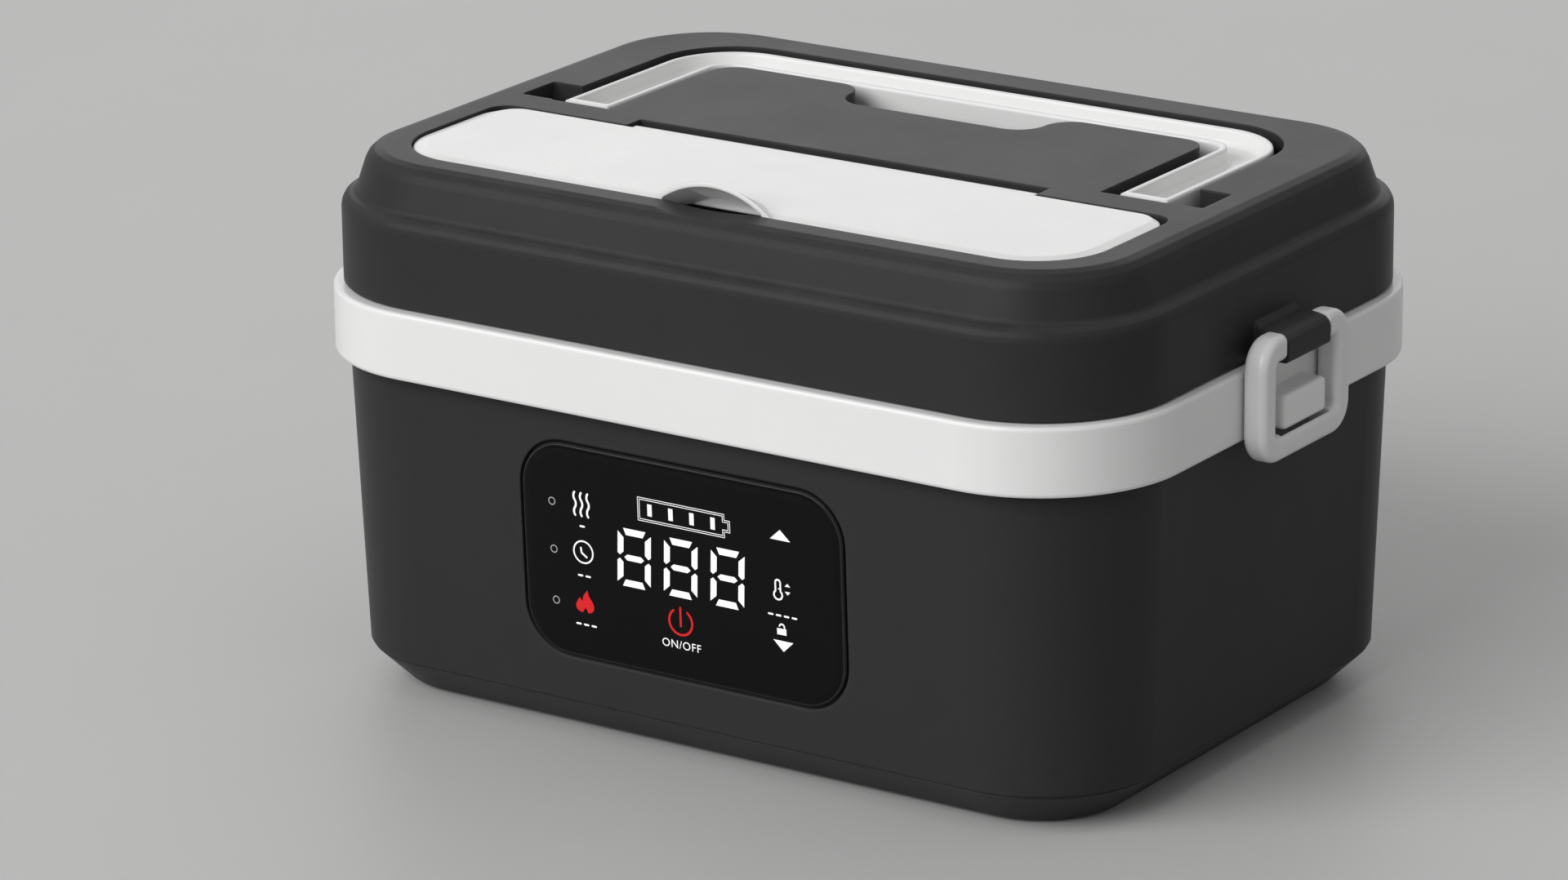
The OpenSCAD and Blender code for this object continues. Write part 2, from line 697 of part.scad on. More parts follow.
dip_w = 12; dip_d = 0.7;
dip_r = (dip_w * dip_w + dip_d * dip_d) / (2 * dip_d);
module lid_shell() {
  color(graphite) difference() {
    union() {
      difference() {
        body_form(lid_outer_pts);
        body_form(lid_inner_pts);
      }
      // Walls and floor of the handle channel
      plan_slab(channel_floor - wall, deck_z - 1, -channel_w / 2 - wall, channel_w / 2 + wall,
        channel_y0 - wall, channel_y1 + wall, 2, handle_r + channel_gap - 0.5 + wall);
      // Blocks that carry the handle pins
      for (s = [-1, 1]) translate([s * (channel_w / 2 - 1) - 16, channel_y0 - wall - 2, pivot_z - 8])
        cube([32, 22, deck_z - pivot_z + 7]);
      // Frame of the cutlery compartment, and of the hinge slot behind it
      translate([0, 0, tray_top - tray_rim_t - 2.4]) linear_extrude(deck_z - tray_top + tray_rim_t + 1.4)
        cover_plan(2);
      plan_slab(hinge_z - 5, deck_z - 1, -tab_w / 2 - 6, tab_w / 2 + 6, cover_y1 - 2, slot_y1 + 2,
        0.5, 0.5);
      // Screw bosses and the side knuckles
      for (sx = [-1, 1], y = [-lid_boss_y, lid_boss_y])
        translate([sx * lid_boss_x, y, liner_top]) cylinder(r = 3.4, h = ledge_z - liner_top - 2);
      for (s = [0, 180]) rotate([0, 0, s]) knuckle();
    }
    // Handle channel, hollow island and room for the turning arm ends
    translate([0, 0, channel_floor]) linear_extrude(40) channel_plan(0);
    plan_slab(channel_floor - wall - 1, deck_z - wall, -island_w / 2 + wall + 1, island_w / 2 - wall - 1,
      slot_y1 + 4, island_y1 - 2 * notch_bend - wall, 2, 2);
    for (s = [-1, 1]) {
      ax = s * (handle_w - handle_bar) / 2;
      translate([ax - handle_bar / 2 - 1.2, channel_y0, pivot_z - 5.6])
        cube([handle_bar + 2.4, pocket_y1 - channel_y0, 20]);
      intersection() {
        x_rod(swing_r, ax - handle_bar / 2 - 1.2, ax + handle_bar / 2 + 1.2, pivot_y, pivot_z);
        translate([ax - 20, channel_y0 - 4, pivot_z - 5.6]) cube([40, 10, 12]);
      }
    }
    x_rod(handle_pin_r + 0.02, -pin_outer, -pin_inner, pivot_y, pivot_z);
    x_rod(handle_pin_r + 0.02, pin_inner, pin_outer, pivot_y, pivot_z);
    // Cutlery compartment: cover recess, tray ledge and opening
    translate([0, 0, tray_top - tray_rim_t]) linear_extrude(20) cover_plan(gap, recess_rear_r);
    translate([0, 0, collar_top - 1]) linear_extrude(40) cover_plan(gap - ledge_w);
    // Hinge slot and pin hole
    plan_slab(hinge_z - barrel_r - 0.6, deck_z + 1, -tab_w / 2 - 0.6, tab_w / 2 + 0.6,
      cover_y1 - 2, slot_y1, 0.3, 0.3);
    x_rod(cover_pin_r + 0.02, -tab_w / 2 - 4.6, tab_w / 2 + 4.6, hinge_y, hinge_z);
    // Dip in the front rim under the finger hood
    translate([0, cover_y0 - 5, deck_z + dip_r - dip_d]) rotate([90, 0, 0])
      cylinder(r = dip_r, h = 20, center = true);
    for (sx = [-1, 1], y = [-lid_boss_y, lid_boss_y])
      translate([sx * lid_boss_x, y, liner_top - 1]) cylinder(r = 1.2, h = 13);
    for (s = [-1, 1]) y_rod(latch_pin_r + 0.02, -knuckle_w, knuckle_w, s * latch_x, latch_pivot_z);
  }
}

// Knuckle on the side of the lid that the latch frame turns on
module knuckle() {
  x0 = body_w / 2 - lid_inset;
  x1 = latch_x + latch_t / 2 + 0.1;
  z1 = latch_top - 0.3;
  intersection() {
    translate([0, knuckle_w / 2, 0]) rotate([90, 0, 0]) linear_extrude(knuckle_w) polygon([
      [x0 - 1, lid_z + 0.4], [x1 - 0.9, lid_z + 0.4], [x1 - 0.2, lid_z + 0.7], [x1, lid_z + 1.4],
      [x1, z1 - 2.6], [x1 - 0.5, z1 - 1.5], [x1 - 1.6, z1 - 0.5], [x1 - 3.4, z1],
      [x0 + 1.6, z1 + 0.6], [x0 - 1, z1 + 2.4]]);
    translate([x0 - 2, 0, 0]) rotate([90, 0, 90]) linear_extrude(x1 - x0 + 3)
      plan_rect(-knuckle_w / 2, knuckle_w / 2, lid_z, z1 + 3, 1, 3.4);
  }
}

// Inner lid: a shallow plug that reaches down into the container
plug_inset = container_top_inset + container_wall + 1.2;
plug_z = collar_top - 4;
liner_top = collar_top + 3;
liner_t = 2;
module lid_liner() {
  color(off_white) difference() {
    union() {
      body_form([[plug_inset + 4, plug_z], [plug_inset + 1, plug_z + 1], [plug_inset, plug_z + 3.6],
        [plug_inset, liner_top - 0.5]]);
      body_form([[lid_inset + wall + gap, liner_top - liner_t], [lid_inset + wall + gap, liner_top]]);
    }
    body_form([[plug_inset + 5, plug_z + liner_t], [plug_inset + 2.4, plug_z + liner_t + 0.8],
      [plug_inset + liner_t, plug_z + liner_t + 3], [plug_inset + liner_t, liner_top + 1]]);
    for (sx = [-1, 1], y = [-lid_boss_y, lid_boss_y])
      translate([sx * lid_boss_x, y, liner_top - liner_t - 1]) {
        cylinder(r = 1.35, h = 5);
        cylinder(r = 2.8, h = 1 + liner_t - 0.6);
      }
  }
}

module lid_seal() {
  seal_z = container_z + 1.5 + seat_gap;
  brim = liner_top - liner_t;
  color("#d9dad8") body_ring([[rebate_inset + 1.2, brim], [rebate_inset + 1.2, brim - 1.1],
    [rebate_inset + 2.6, seal_z + 0.2], [rebate_inset + 3.4, seal_z], [rebate_inset + 4.2, seal_z + 0.2],
    [rebate_inset + 4.4, brim - 0.9], [plug_inset - 0.3, brim - 0.9], [plug_inset - 0.3, brim]]);
}

module lid_screws() {
  head_z = liner_top - 0.6;
  color("#8d9094") for (sx = [-1, 1], y = [-lid_boss_y, lid_boss_y])
    translate([sx * lid_boss_x, y, 0]) difference() {
      rotate_extrude() polygon([[0, head_z - 1.4], [1.9, head_z - 1.4], [2.6, head_z - 0.7],
        [2.6, head_z], [1.15, head_z], [1.15, head_z + 9], [0, head_z + 10]]);
      for (a = [0, 90]) rotate([0, 0, a]) translate([-1.4, -0.35, head_z - 2.4]) cube([2.8, 0.7, 1.8]);
    }
}

module cutlery_tray() {
  g = gap - ledge_w - gap;
  color(off_white) difference() {
    union() {
      translate([0, 0, tray_top - tray_rim_t]) linear_extrude(tray_rim_t) cover_plan(0);
      translate([0, 0, tray_floor]) linear_extrude(tray_top - tray_floor - 0.2) cover_plan(g);
    }
    translate([0, 0, tray_floor + tray_wall]) linear_extrude(40) cover_plan(g - tray_wall);
    // Room for the hinge barrel
    translate([-tab_w / 2 - 1, hinge_y - barrel_r - 0.8, tray_top - 1]) cube([tab_w + 2, 10, 5]);
  }
}

module cover_pin() {
  color("#a6a9ad") x_rod(cover_pin_r, -tab_w / 2 - 4, tab_w / 2 + 4, hinge_y, hinge_z);
}

pin_inner = island_w / 2 - 3;
pin_outer = channel_w / 2 + pocket_w + 3.5;
module handle_pins() {
  color("#a6a9ad") {
    x_rod(handle_pin_r, -pin_outer + 0.4, -pin_inner - 0.4, pivot_y, pivot_z);
    x_rod(handle_pin_r, pin_inner + 0.4, pin_outer - 0.4, pivot_y, pivot_z);
  }
}

module latch_pins() {
  reach = knuckle_w / 2 + 6;
  color("#a6a9ad") for (s = [-1, 1]) y_rod(latch_pin_r, -reach, reach, s * latch_x, latch_pivot_z);
}

// ---------- carry handle ----------

// Section of the handle: an upward channel with rounded rims, x across it from its middle, y up
module handle_section(filled) {
  h = handle_bar / 2;
  t = handle_rim;
  f = handle_floor;
  top = handle_h;
  polygon(concat(
    [[-h + 1.6, 0], [h - 1.6, 0], [h - 0.5, 0.5], [h, 1.6], [h, top - 0.7], [h - 0.25, top - 0.15],
      [h - 0.8, top]],
    filled ? [] : [[h - t + 0.7, top], [h - t + 0.15, top - 0.2], [h - t, top - 0.8],
      [h - t - 0.3, f + 1.2], [h - t - 1.3, f], [-h + t + 1.3, f], [-h + t + 0.3, f + 1.2],
      [-h + t, top - 0.8], [-h + t - 0.15, top - 0.2], [-h + t - 0.7, top]],
    [[-h + 0.8, top], [-h + 0.25, top - 0.15], [-h, top - 0.7], [-h, 1.6], [-h + 0.5, 0.5]]));
}

module carry_handle() {
  cx = (handle_w - handle_bar) / 2;
  bend = handle_r - handle_bar / 2;
  cy = handle_y1 - handle_r;
  color(off_white) difference() {
    translate([0, 0, handle_z]) union() {
      for (s = [-1, 1]) {
        translate([s * cx, cy, 0]) rotate([90, 0, 0]) linear_extrude(cy - handle_y0 - handle_rim)
          handle_section(false);
        translate([s * cx, handle_y0 + handle_rim, 0]) rotate([90, 0, 0]) linear_extrude(handle_rim)
          handle_section(true);
      }
      translate([cx - bend, cy, 0]) rotate_extrude(angle = 90)
        translate([bend, 0]) handle_section(false);
      translate([-cx + bend, cy, 0]) rotate([0, 0, 90]) rotate_extrude(angle = 90)
        translate([bend, 0]) handle_section(false);
      translate([-cx + bend, handle_y1 - handle_bar / 2, 0]) rotate([90, 0, 90])
        linear_extrude(2 * (cx - bend)) handle_section(false);
    }
    for (s = [-1, 1])
      x_rod(handle_pin_r + pin_clear, s * cx - handle_bar, s * cx + handle_bar, pivot_y, pivot_z);
  }
}

// ---------- cutlery cover ----------

hood_wall = 1.4;
hood_arc = (hood_r * hood_r / cos(hood_tilt) / hood_h + hood_h * cos(hood_tilt)) / 2;

// Leaning cylinder that the finger hood is cut from, or its hollow
module hood_form(r) {
  translate([0, cover_y0, deck_z + hood_h - hood_arc / cos(hood_tilt)])
    rotate([-90 - hood_tilt, 0, 0]) cylinder(r = r, h = 80, center = true);
}

module cutlery_cover() {
  z0 = deck_z - cover_t;
  bevel_w = 3.4; bevel_h = 0.7; hollow_r = 4.8;
  color(off_white) difference() {
    union() {
      translate([0, 0, z0]) linear_extrude(cover_t - bevel_h - 0.35) cover_plan(0);
      // Bevelled rim and top
      cover_top(z0 + cover_t - bevel_h - 0.35, bevel_h, bevel_w);
      // Finger hood
      intersection() {
        hood_form(hood_arc);
        translate([-hood_r - 3, cover_y0, deck_z - 2]) cube([2 * hood_r + 6, 30, hood_h + 3]);
      }
      // Tab and hinge barrel
      translate([-tab_w / 2, cover_y1 - 3, deck_z - 2.2]) cube([tab_w, tab_len + 3, 1.85]);
      x_rod(barrel_r, -tab_w / 2, tab_w / 2, hinge_y, hinge_z);
      translate([-tab_w / 2, cover_y1 - 2, z0]) cube([tab_w, hinge_y - cover_y1 + 2, hinge_z - z0 + 0.5]);
    }
    // Hollow of the hood with a round back, and the arc cut from the plate's edge in front of it
    intersection() {
      hood_form(hood_arc - hood_wall);
      x_rod(hollow_r, -hood_r - 3, hood_r + 3, cover_y0 + 1.2, deck_z + 2.2);
      translate([-hood_r - 3, cover_y0 - 10, deck_z - 1.9]) cube([2 * hood_r + 6, 30, hood_h + 3]);
    }
    translate([0, cover_y0 - 28.6, z0 - 1]) cylinder(r = 30, h = cover_t + 0.4);
    x_rod(cover_pin_r + pin_clear, -tab_w / 2 - 1, tab_w / 2 + 1, hinge_y, hinge_z);
    // Undercut that lets the rear edge roll over the deck
    for (s = [-1, 1]) x_rod(3.9, s * (cover_w / 4 + tab_w / 4) - cover_w / 4 + tab_w / 4 - 0.01,
      s * (cover_w / 4 + tab_w / 4) + cover_w / 4 - tab_w / 4 + 1, hinge_y, hinge_z);
  }
}

// Top layer of the cover: chamfered over the height h, by w at the front and the ends and by
// rear_w along the back
module cover_top(z, h, w, rear_w = 0.6) {
  translate([0, 0, z]) linear_extrude(0.35) cover_plan(0);
  translate([0, 0, z + 0.35]) hull() {
    linear_extrude(0.01) cover_plan(0);
    translate([0, 0, h - 0.01]) linear_extrude(0.01)
      plan_rect(-cover_w / 2 + w, cover_w / 2 - w, cover_y0 + w, cover_y1 - rear_w,
        cover_r - w, cover_rear_r - w);
  }
}

// ---------- latches ----------

// Section of a latch bar with well-rounded edges: x across the bar, y out from the body
module latch_section() {
  a = latch_bar / 2;
  b = latch_t / 2;
  r = 2;
  square([latch_bar - 2 * r, latch_t], center = true);
  square([latch_bar, latch_t - 2 * r], center = true);
  for (sx = [-1, 1], sy = [-1, 1]) translate([sx * (a - r), sy * (b - r)]) circle(r);
}

// Depth that the hook bar must have lost at x inside the block's face, to swing out as the lid lifts
function cam_drop(x) =
  x * lid_lift / (latch_swing * PI / 180) / (latch_h - 1.5 * latch_bar) + 0.015 * x * x + 0.3;

module latch() {
  hw = latch_w / 2 - latch_bar / 2;
  z0 = latch_bottom + latch_bar / 2;
  z1 = latch_pivot_z;
  stub_end = knuckle_w / 2 + gap;
  cam_x = block_x + 0.3;
  bar_top = latch_bottom + latch_bar;
  difference() {
    // x across the body, y up, z out, then stood up against the side
    translate([latch_x, 0, 0]) rotate([90, 0, 90]) union() {
      for (s = [-1, 1]) {
        // Side rail
        translate([s * hw, z1 - latch_bend, 0]) rotate([90, 0, 0])
          linear_extrude(z1 - z0 - 2 * latch_bend) latch_section();
        // Stub towards the knuckle
        translate([s > 0 ? stub_end : -hw + latch_bend, z1, 0]) rotate([90, 0, 90])
          linear_extrude(hw - latch_bend - stub_end) latch_section();
        // Bends
        translate([s * (hw - latch_bend), z1 - latch_bend, 0]) rotate([0, 0, s > 0 ? 0 : 90])
          rotate_extrude(angle = 90) translate([latch_bend, 0]) latch_section();
        translate([s * (hw - latch_bend), z0 + latch_bend, 0]) rotate([0, 0, s > 0 ? 270 : 180])
          rotate_extrude(angle = 90) translate([latch_bend, 0]) latch_section();
      }
      translate([-hw + latch_bend, z0, 0]) rotate([90, 0, 90])
        linear_extrude(2 * (hw - latch_bend)) latch_section();
    }
    // Cam face on the hidden inner side of the hook bar, which rolls out from under the block
    translate([0, knuckle_w / 2 + 1.6, 0]) rotate([90, 0, 0]) linear_extrude(knuckle_w + 3.2) polygon([
      [cam_x, bar_top - 0.1], [cam_x, bar_top + 1], [latch_x - latch_t, bar_top + 1],
      [latch_x - latch_t, bar_top - cam_drop(latch_t)], [cam_x - 3, bar_top - cam_drop(3)]]);
    y_rod(latch_pin_r + pin_clear, -knuckle_w / 2 - 6.6, knuckle_w / 2 + 6.6, latch_x, latch_pivot_z);
  }
}

module latch_right() { color(latch_grey) latch(); }
module latch_left() { color(latch_grey) rotate([0, 0, 180]) latch(); }

outer_housing();
base_cover();
rubber_feet();
base_screws();
collar_ring();
heated_well();
heating_plate();
heating_element();
insulation_mat();
heat_shield();
temperature_sensor();
thermal_fuse();
battery_tray();
battery_cells();
cell_links();
main_board();
board_components();
display_board();
led_display();
control_panel();
panel_gasket();
charge_socket();
socket_nut();
food_container();
lid_shell();
lid_liner();
lid_seal();
lid_screws();
cutlery_tray();
cover_pin();
handle_pins();
latch_pins();
carry_handle();
cutlery_cover();
latch_right();
latch_left();
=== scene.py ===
"""Electric lunch box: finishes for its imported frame, the printed touch panel, and a plain studio.

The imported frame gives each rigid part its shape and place. This script dresses those parts,
carves the cutlery cover's finger hood, prints the touch panel, and sets the floor, the lamps and
the camera. Lengths are in metres, with the origin on the table under the middle of the box: X to
the right, Y to the back and Z up. Values that end in _mm, and the panel's art, are millimetres.
"""

from __future__ import annotations

import json
import logging
import math
from dataclasses import dataclass, field
from enum import Enum
from functools import cache

import bmesh
import bpy
from mathutils import Matrix, Vector

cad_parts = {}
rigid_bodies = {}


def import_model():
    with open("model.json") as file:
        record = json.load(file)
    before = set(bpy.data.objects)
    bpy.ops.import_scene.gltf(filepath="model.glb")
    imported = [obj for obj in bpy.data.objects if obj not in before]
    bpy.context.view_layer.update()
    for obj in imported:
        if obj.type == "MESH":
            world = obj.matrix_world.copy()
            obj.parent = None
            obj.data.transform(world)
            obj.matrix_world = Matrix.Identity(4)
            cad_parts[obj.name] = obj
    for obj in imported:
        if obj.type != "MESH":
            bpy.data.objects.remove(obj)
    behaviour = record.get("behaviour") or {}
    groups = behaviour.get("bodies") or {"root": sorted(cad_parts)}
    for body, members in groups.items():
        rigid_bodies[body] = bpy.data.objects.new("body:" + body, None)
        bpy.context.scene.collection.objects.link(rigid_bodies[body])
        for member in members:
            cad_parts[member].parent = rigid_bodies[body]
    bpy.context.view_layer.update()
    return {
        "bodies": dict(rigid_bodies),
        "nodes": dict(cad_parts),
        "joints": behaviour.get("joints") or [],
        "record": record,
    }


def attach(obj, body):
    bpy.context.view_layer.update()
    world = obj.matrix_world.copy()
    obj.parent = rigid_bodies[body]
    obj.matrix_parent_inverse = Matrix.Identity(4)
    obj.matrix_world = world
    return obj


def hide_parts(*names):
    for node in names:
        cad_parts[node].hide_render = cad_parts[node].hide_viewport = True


LOG = logging.getLogger("lunch_box")
MM = 0.001
MERGE = 1e-6
FULL_TURN = 360.0
ARC_STEP = 7.5
DOT_SIDES = 12
CAP_SHARE = 0.7

Pair = tuple[float, float]
Triple = tuple[float, float, float]
Colour = Triple
Socket = bpy.types.NodeSocket


# ---------------- node trees


class Tree:
    """A node tree with short calls that add, set and link its nodes."""

    def __init__(self, tree: bpy.types.NodeTree) -> None:
        """Wrap a tree.

        Args:
            tree: The material's or group's node tree.
        """
        self.tree = tree

    def add(self, kind: str, inputs: dict | None = None, **settings: object) -> bpy.types.Node:
        """Add one node.

        Args:
            kind: The node's Blender type name.
            inputs: What its sockets get, as in feed.
            **settings: Properties of the node itself.

        Returns:
            The new node.
        """
        node = self.tree.nodes.new(kind)
        for name, value in settings.items():
            setattr(node, name, value)
        self.feed(node, inputs or {})
        return node

    def feed(self, node: bpy.types.Node, inputs: dict) -> None:
        """Give a node's sockets their values, or link outputs to them.

        Args:
            node: The node.
            inputs: Socket name or number, with its number, colour or vector, or an output.
        """
        for name, value in inputs.items():
            socket = node.inputs[name]
            if isinstance(value, Socket):
                self.tree.links.new(value, socket)
            elif isinstance(value, tuple) and len(value) < len(socket.default_value):
                socket.default_value = (*value, 1.0)
            else:
                socket.default_value = value

    def maths(self, operation: str, *values: object, clamp: bool = False) -> Socket:
        """Add a Math node.

        Args:
            operation: The operation's name.
            *values: Its numbers or the outputs that feed it, in order.
            clamp: Whether the result is held between 0 and 1.

        Returns:
            The node's result.
        """
        inputs = dict(enumerate(values))
        return self.add("ShaderNodeMath", inputs, operation=operation, use_clamp=clamp).outputs[0]

    def remap(
        self, value: Socket, low: float, high: float, to_low: float = 0.0, to_high: float = 1.0
    ) -> Socket:
        """Map a range of values onto another one, held at its ends.

        Args:
            value: The output to map.
            low: Value that becomes to_low.
            high: Value that becomes to_high.
            to_low: Result at the low end.
            to_high: Result at the high end.

        Returns:
            The mapped output.
        """
        inputs = dict(enumerate((value, low, high, to_low, to_high)))
        return self.add("ShaderNodeMapRange", inputs).outputs[0]

    def blend(self, factor: object, first: object, second: object) -> Socket:
        """Mix two colours.

        Args:
            factor: Share of the second colour.
            first: Colour, or an output.
            second: Colour, or an output.

        Returns:
            The mixed colour.
        """
        inputs = {0: factor, 6: first, 7: second}
        return self.add("ShaderNodeMix", inputs, data_type="RGBA").outputs[2]

    def noise(
        self, vector: Socket, scale: object, detail: float = 2.0, rough: float = 0.5
    ) -> Socket:
        """Add a noise texture.

        Args:
            vector: Coordinates that feed it.
            scale: Cells per metre.
            detail: Octaves.
            rough: How strong the finer octaves are.

        Returns:
            The noise value.
        """
        inputs = {"Vector": vector, "Scale": scale, "Detail": detail, "Roughness": rough}
        return self.add("ShaderNodeTexNoise", inputs).outputs[0]


class Effect(Enum):
    """The shared surface effects, each a node group."""

    GRAIN = "mould_grain"
    WEAR = "edge_wear"
    DUST = "settled_dust"
    BRUSH = "brushed_lines"
    SMUDGE = "hand_smudges"


@dataclass
class EffectShelf:
    """Keeps the shared node groups; the method with an effect's name builds its group."""

    made: dict[Effect, bpy.types.NodeTree] = field(default_factory=dict)

    def find(self, effect: Effect) -> bpy.types.NodeTree:
        """Find an effect's group, or build it at its first use.

        Args:
            effect: Which effect.

        Returns:
            The group's node tree.
        """
        if effect not in self.made:
            getattr(self, effect.name.lower())()
        return self.made[effect]

    def open_group(
        self, effect: Effect, outputs: tuple[str, ...], **inputs: float
    ) -> tuple[Tree, bpy.types.NodeOutputs, bpy.types.Node]:
        """Start an effect's group, with coordinates, numbers and results for its sockets.

        Args:
            effect: Which effect.
            outputs: Names of its results, each a value.
            **inputs: Its numbers by name, with their starting values.

        Returns:
            The wrapped tree, what the group is given, and its output node.
        """
        group = self.made[effect] = bpy.data.node_groups.new(effect.value, "ShaderNodeTree")
        group.interface.new_socket("Place", in_out="INPUT", socket_type="NodeSocketVector")
        for name, value in inputs.items():
            socket = group.interface.new_socket(
                name, in_out="INPUT", socket_type="NodeSocketFloat"
            )
            socket.default_value = value
        for name in outputs:
            group.interface.new_socket(name, in_out="OUTPUT", socket_type="NodeSocketFloat")
        tree = Tree(group)
        return tree, tree.add("NodeGroupInput").outputs, tree.add("NodeGroupOutput")

    def grain(self) -> None:
        """Fine spark-eroded mould texture, with a slow change of tone over the moulding."""
        pit_share, drift_share, cloud_share = 0.55, 0.7, 0.3
        results = ("Height", "Tone")
        tree, given, out = self.open_group(Effect.GRAIN, results, Cells=2600.0, Coarse=0.35)
        place, cells = given["Place"], given["Cells"]
        fine = tree.noise(place, cells, detail=3.0, rough=0.62)
        inputs = {"Vector": place, "Scale": cells}
        pits = tree.add("ShaderNodeTexVoronoi", inputs, feature="SMOOTH_F1").outputs["Distance"]
        swell = tree.noise(place, scale=420.0)
        both = tree.maths("MULTIPLY_ADD", pits, pit_share, fine)
        drift = tree.noise(place, scale=14.0, detail=3.0, rough=0.6)
        cloud = tree.noise(place, scale=95.0, rough=0.6)
        slow = tree.maths("MULTIPLY", drift, drift_share)
        tone = tree.maths("MULTIPLY_ADD", cloud, cloud_share, slow)
        height = tree.maths("MULTIPLY_ADD", swell, given["Coarse"], both)
        tree.feed(out, {"Height": height, "Tone": tree.remap(tone, low=0.3, high=0.7)})

    def wear(self) -> None:
        """Convex edges: the whole line of them, and where they are scuffed."""
        tree, given, out = self.open_group(Effect.WEAR, ("Mask", "Edge"), Reach=0.0012)
        rounded = tree.add("ShaderNodeBevel", {"Radius": given["Reach"]}, samples=4).outputs[0]
        true = tree.add("ShaderNodeNewGeometry").outputs["Normal"]
        turned = tree.add("ShaderNodeVectorMath", {0: rounded, 1: true}, operation="DOT_PRODUCT")
        edge = tree.remap(turned.outputs["Value"], low=0.995, high=0.82)
        patchy = tree.noise(given["Place"], scale=160.0, detail=4.0, rough=0.65)
        gate = tree.remap(patchy, low=0.38, high=0.66, to_low=0.15)
        tree.feed(out, {"Mask": tree.maths("MULTIPLY", edge, gate), "Edge": edge})

    def dust(self) -> None:
        """A thin film of dust on faces that look up."""
        tree, given, out = self.open_group(Effect.DUST, ("Mask",), Amount=0.3)
        normal = tree.add("ShaderNodeTexCoord").outputs["Normal"]
        up = tree.add("ShaderNodeSeparateXYZ", {0: normal}).outputs["Z"]
        facing = tree.remap(up, low=0.35, high=1.0)
        patchy = tree.noise(given["Place"], scale=60.0, detail=5.0, rough=0.7)
        cloud = tree.remap(patchy, low=0.35, high=0.8, to_low=0.2)
        motes = tree.noise(given["Place"], scale=1400.0)
        specks = tree.remap(motes, low=0.66, high=0.74, to_high=0.8)
        film = tree.maths("MULTIPLY", facing, tree.maths("ADD", cloud, specks))
        tree.feed(out, {"Mask": tree.maths("MULTIPLY", film, given["Amount"], clamp=True)})

    def brush(self) -> None:
        """Long fine lines of brushed or drawn metal, along X of the coordinates given."""
        line_share, band_share = 0.6, 0.4
        tree, given, out = self.open_group(Effect.BRUSH, ("Height", "Tone"), Lines=9000.0)
        inputs = {"Vector": given["Place"], "Scale": (0.012, 1.0, 1.0)}
        stretched = tree.add("ShaderNodeMapping", inputs).outputs[0]
        lines = tree.noise(stretched, given["Lines"], detail=3.0, rough=0.7)
        broad = tree.maths("MULTIPLY", tree.noise(stretched, scale=700.0), band_share)
        tone = tree.maths("MULTIPLY_ADD", lines, line_share, broad)
        tree.feed(out, {"Height": lines, "Tone": tone})

    def smudge(self) -> None:
        """Soft patches where fingers have touched a polished face."""
        tree, given, out = self.open_group(Effect.SMUDGE, ("Mask",), Patches=55.0)
        touched = tree.noise(given["Place"], given["Patches"], detail=3.0, rough=0.6)
        patches = tree.remap(touched, low=0.5, high=0.72)
        prints = tree.noise(given["Place"], scale=2400.0)
        ridges = tree.remap(prints, low=0.35, high=0.65, to_low=0.4)
        tree.feed(out, {"Mask": tree.maths("MULTIPLY", patches, ridges)})


EFFECTS = EffectShelf()


class Surface(Tree):
    """A new material's tree, with its Principled shader and object coordinates."""

    def __init__(self, name: str) -> None:
        """Start the material.

        Args:
            name: The material's name.
        """
        self.material = bpy.data.materials.new(name)
        self.material.use_nodes = True
        self.material.node_tree.nodes.clear()
        super().__init__(self.material.node_tree)
        self.shader = self.add("ShaderNodeBsdfPrincipled")
        self.add("ShaderNodeOutputMaterial", {"Surface": self.shader.outputs[0]})
        self.place = self.add("ShaderNodeTexCoord").outputs["Object"]

    def effect(self, effect: Effect, **inputs: object) -> bpy.types.NodeOutputs:
        """Place a shared effect on the surface.

        Args:
            effect: Which effect.
            **inputs: Its inputs by name; Place may be left out.

        Returns:
            Its outputs.
        """
        inputs = {"Place": self.place, **inputs}
        return self.add("ShaderNodeGroup", inputs, node_tree=EFFECTS.find(effect)).outputs

    def bump(
        self, height: Socket, strength: float, depth: float, edge: float = 0.0, samples: int = 4
    ) -> Socket:
        """Raise a pattern, over edges that may look rounded.

        Args:
            height: The pattern.
            strength: How much of it shows.
            depth: Its height.
            edge: Radius of the edges, or 0.
            samples: Rays that look for an edge.

        Returns:
            The normal.
        """
        inputs = {"Strength": strength, "Distance": depth, "Height": height}
        if edge:
            rounded = self.add("ShaderNodeBevel", {"Radius": edge}, samples=samples)
            inputs["Normal"] = rounded.outputs[0]
        return self.add("ShaderNodeBump", inputs).outputs[0]

    def finish(self, sockets: dict[str, object]) -> bpy.types.Material:
        """Feed the shader.

        Args:
            sockets: Its sockets by name, with their values or outputs.

        Returns:
            The finished material.
        """
        self.feed(self.shader, sockets)
        return self.material


# ---------------- finishes


@dataclass(frozen=True)
class Finish:
    """A procedural finish, described by its values."""

    name: str
    colour: Colour

    def build(self) -> bpy.types.Material:
        """Build the material.

        Returns:
            The finished material.
        """
        raise NotImplementedError


@cache
def material_of(finish: Finish) -> bpy.types.Material:
    """Build a finish's material at its first use.

    Args:
        finish: The finish.

    Returns:
        Its one material.
    """
    return finish.build()


